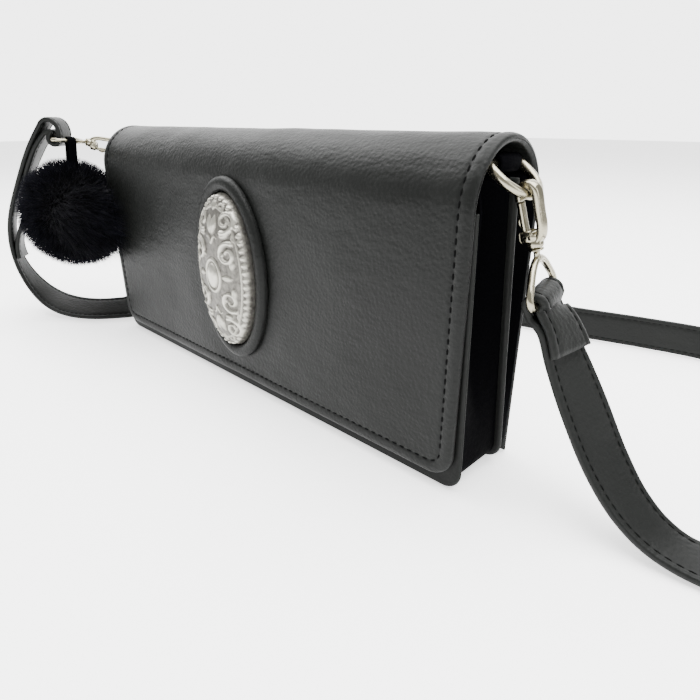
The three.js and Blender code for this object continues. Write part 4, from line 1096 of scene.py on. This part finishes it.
def build_medallion():
    rings = np.concatenate([np.linspace(0, 0.9, 96)[1:], np.linspace(0.9, 1.0, 26)[1:]])
    sectors = 260
    x, z = (rings[:, None] * line for line in oval(circle(sectors)))
    relief = medallion_relief(x, z)
    height = dome(x, z) + relief + 0.06 * ripples(x, z, 2.1, 4.4)
    rim = smooth((1 - rings) / 0.03)[:, None]
    height = MEDALLION_RIM * 0.75 + (height - MEDALLION_RIM * 0.75) * (0.25 + 0.75 * rim)
    front = np.stack([x, FLAP_FACE_Y - height, MEDALLION_Z + z], -1).reshape(-1, 3)
    hub = np.array([[0, FLAP_FACE_Y - dome(0, 0) - 2.4, MEDALLION_Z]])
    back = np.stack([x[-1], np.full(sectors, FLAP_FACE_Y), MEDALLION_Z + z[-1]], -1)
    # a fan round the hub takes the place of the first end
    *walls, _, last_end = tube_faces(len(rings) + 1, sectors)
    faces = [(0, 1 + (j + 1) % sectors, 1 + j) for j in range(sectors)]
    faces += [tuple(1 + i for i in face) for face in [*walls, last_end]]
    level = np.clip(relief / RELIEF_FULL, 0, 1)
    values = np.concatenate([[1.0], (0.2 + 0.8 * level).reshape(-1), np.full(sectors, 0.2)])
    make_object("medallion_cast", outward(np.concatenate([hub, front, back]), faces), SILVER,
                "medallion", attributes={"relief": values})


def build_bezel():
    half = BEZEL_WIDTH / 2
    x, z = oval(circle(160), half + GAP)
    path = np.stack([x, np.full(160, FLAP_FACE_Y), MEDALLION_Z + z], -1)
    section = [(half * math.cos(a), 0.25 + (BEZEL_HEIGHT - 0.25) * math.sin(a) ** 0.8)
               for a in np.linspace(0, np.pi, 15)]
    section += [(-half, 0), (half, 0)]
    piece = make_object("medallion_surround", flat_sweep(path, -Y, section, closed=True), LEATHER_GREY,
                        "medallion_bezel")


build_medallion()
build_bezel()

# ---------- pompom
FUR_SEED = 41
FUR_STRANDS = 24000
FUR_LOCKS = 420
FUR_ROOT = 24.0
FUR_CORE = 28.5
FUR_DROOP = 0.05
# shares of a strand's length, and its width (mm) at each
STRAND_SHARES = np.array([0.0, 0.4, 0.75, 1.0])
STRAND_WIDTHS = (0.34, 0.32, 0.22, 0.03)
COMB_REACH = 28.0
COMB_LAYER = 5.0


def build_fur():
    rng = np.random.default_rng(FUR_SEED)
    count = FUR_STRANDS
    index = np.arange(count)
    turn = math.pi * (3 - math.sqrt(5)) * index
    height = 1 - 2 * (index + 0.5) / count
    ring = np.sqrt(1 - height**2)
    ways = np.stack([ring * np.cos(turn), ring * np.sin(turn), height], -1)
    ways = unit_rows(ways + rng.normal(0, 0.03, ways.shape))
    locks = unit_rows(rng.normal(0, 1, (FUR_LOCKS, 3)))
    nearest = np.argmax(ways @ locks.T, axis=1)
    spread = rng.normal(0, 1, ways.shape)
    reach = POMPOM_RADIUS - 1.2 + 1.6 * rng.random(count) + 1.2 * rng.random(FUR_LOCKS)[nearest]
    stray = rng.random(count) < 0.05
    reach = np.where(stray, reach + 1.5 * rng.random(count), reach)
    # longer hair is combed over the flap's edge and lies in front of it
    fringe = (ways[:, 0] > 0.7) & (np.abs(ways[:, 2]) < 0.6) & (ways[:, 1] < 0.3)
    reach = np.where(fringe, reach + 2.0 + 4.0 * rng.random(count), reach)
    comb = COMB_REACH * smooth((ways[:, 0] - 0.4) / 0.4) * round_top((ways[:, 2] / 0.8) ** 2)
    comb = comb * smooth((0.5 - ways[:, 1]) / 0.4) * (0.6 + 0.5 * rng.random(count))
    rows = []
    for share in STRAND_SHARES:
        way = unit_rows(ways * (1 - 0.45 * share) + locks[nearest] * 0.45 * share
                        + spread * 0.09 * share - Z * FUR_DROOP * share**2)
        spots = POMPOM_CENTRE + way * (FUR_ROOT + (reach - FUR_ROOT) * share)[:, None]
        spots[:, 0] += comb * share**2
        over = spots[:, 0] > -BAG_WIDTH / 2 - 3.5
        front = -BAG_DEPTH / 2 - 0.8 - COMB_LAYER * rng.random(count) ** 1.5
        spots[:, 1] = np.where(over, np.minimum(spots[:, 1], front), spots[:, 1])
        rows.append(spots)
    side = unit_rows(np.cross(ways, rng.normal(0, 1, ways.shape)))
    points = np.stack([[row + side * width / 2, row - side * width / 2]
                       for row, width in zip(rows, STRAND_WIDTHS)])
    # points come as shares, sides, strands; a strand's eight points are kept together
    points = points.transpose(2, 0, 1, 3).reshape(-1, 3)
    faces = [(i, i + 1, i + 3, i + 2) for start in range(0, len(points), 8)
             for i in (start, start + 2, start + 4)]
    along = np.repeat(np.tile(STRAND_SHARES, count), 2)
    make_object("pompom_fur", (points, faces), FUR, "pompom", attributes={"along": along})


def build_core():
    """A dark, slightly uneven ball under the fur."""
    rows, sectors = 40, 64
    points = []
    for p in np.linspace(0.03, math.pi - 0.03, rows):
        for a in circle(sectors):
            way = np.array([math.sin(p) * math.cos(a), math.sin(p) * math.sin(a), math.cos(p)])
            points.append(POMPOM_CENTRE + FUR_CORE * way * (1 + 0.035 * ripple(way, 0.22, 1.9)))
    make_object("pompom_core", outward(points, tube_faces(rows, sectors)), FUR)


def build_loop():
    """A leather band through one leg of the left strap eye and down into the fur."""
    leg = HOOKS["left"]["turn"]([(0, a, b) for a, b in EYE_HALF[1:3]])
    middle = leg.mean(axis=0)
    way = unit(POMPOM_CENTRE - middle)
    across = unit(np.cross(way, leg[1] - leg[0]))
    half = EYE_WIRE + GAP + LOOP_SLACK + LOOP_LEATHER / 2
    socket_foot = np.linalg.norm(POMPOM_CENTRE - middle) - POMPOM_LOCK_TIP + LOOP_SOCKET
    reach = socket_foot - GAP - LOOP_LEATHER / 2 - half
    stations = []
    for below, start in ((0, 0), (1, np.pi)):
        for a in np.linspace(start, start + np.pi, 13):
            turn = across * half * math.cos(a) - way * half * math.sin(a)
            stations.append(middle + turn + way * reach * below)
    path = spline(stations, 120, closed=True)
    section = squared_section(LOOP_LEATHER / 2, LOOP_WIDTH / 2, 20, 0.3)
    shell = flat_sweep(path, unit(np.cross(way, across)), section, closed=True)
    make_object("pompom_hanger", shell, LEATHER_BLACK, "pompom_loop")


build_fur()
build_core()
build_loop()
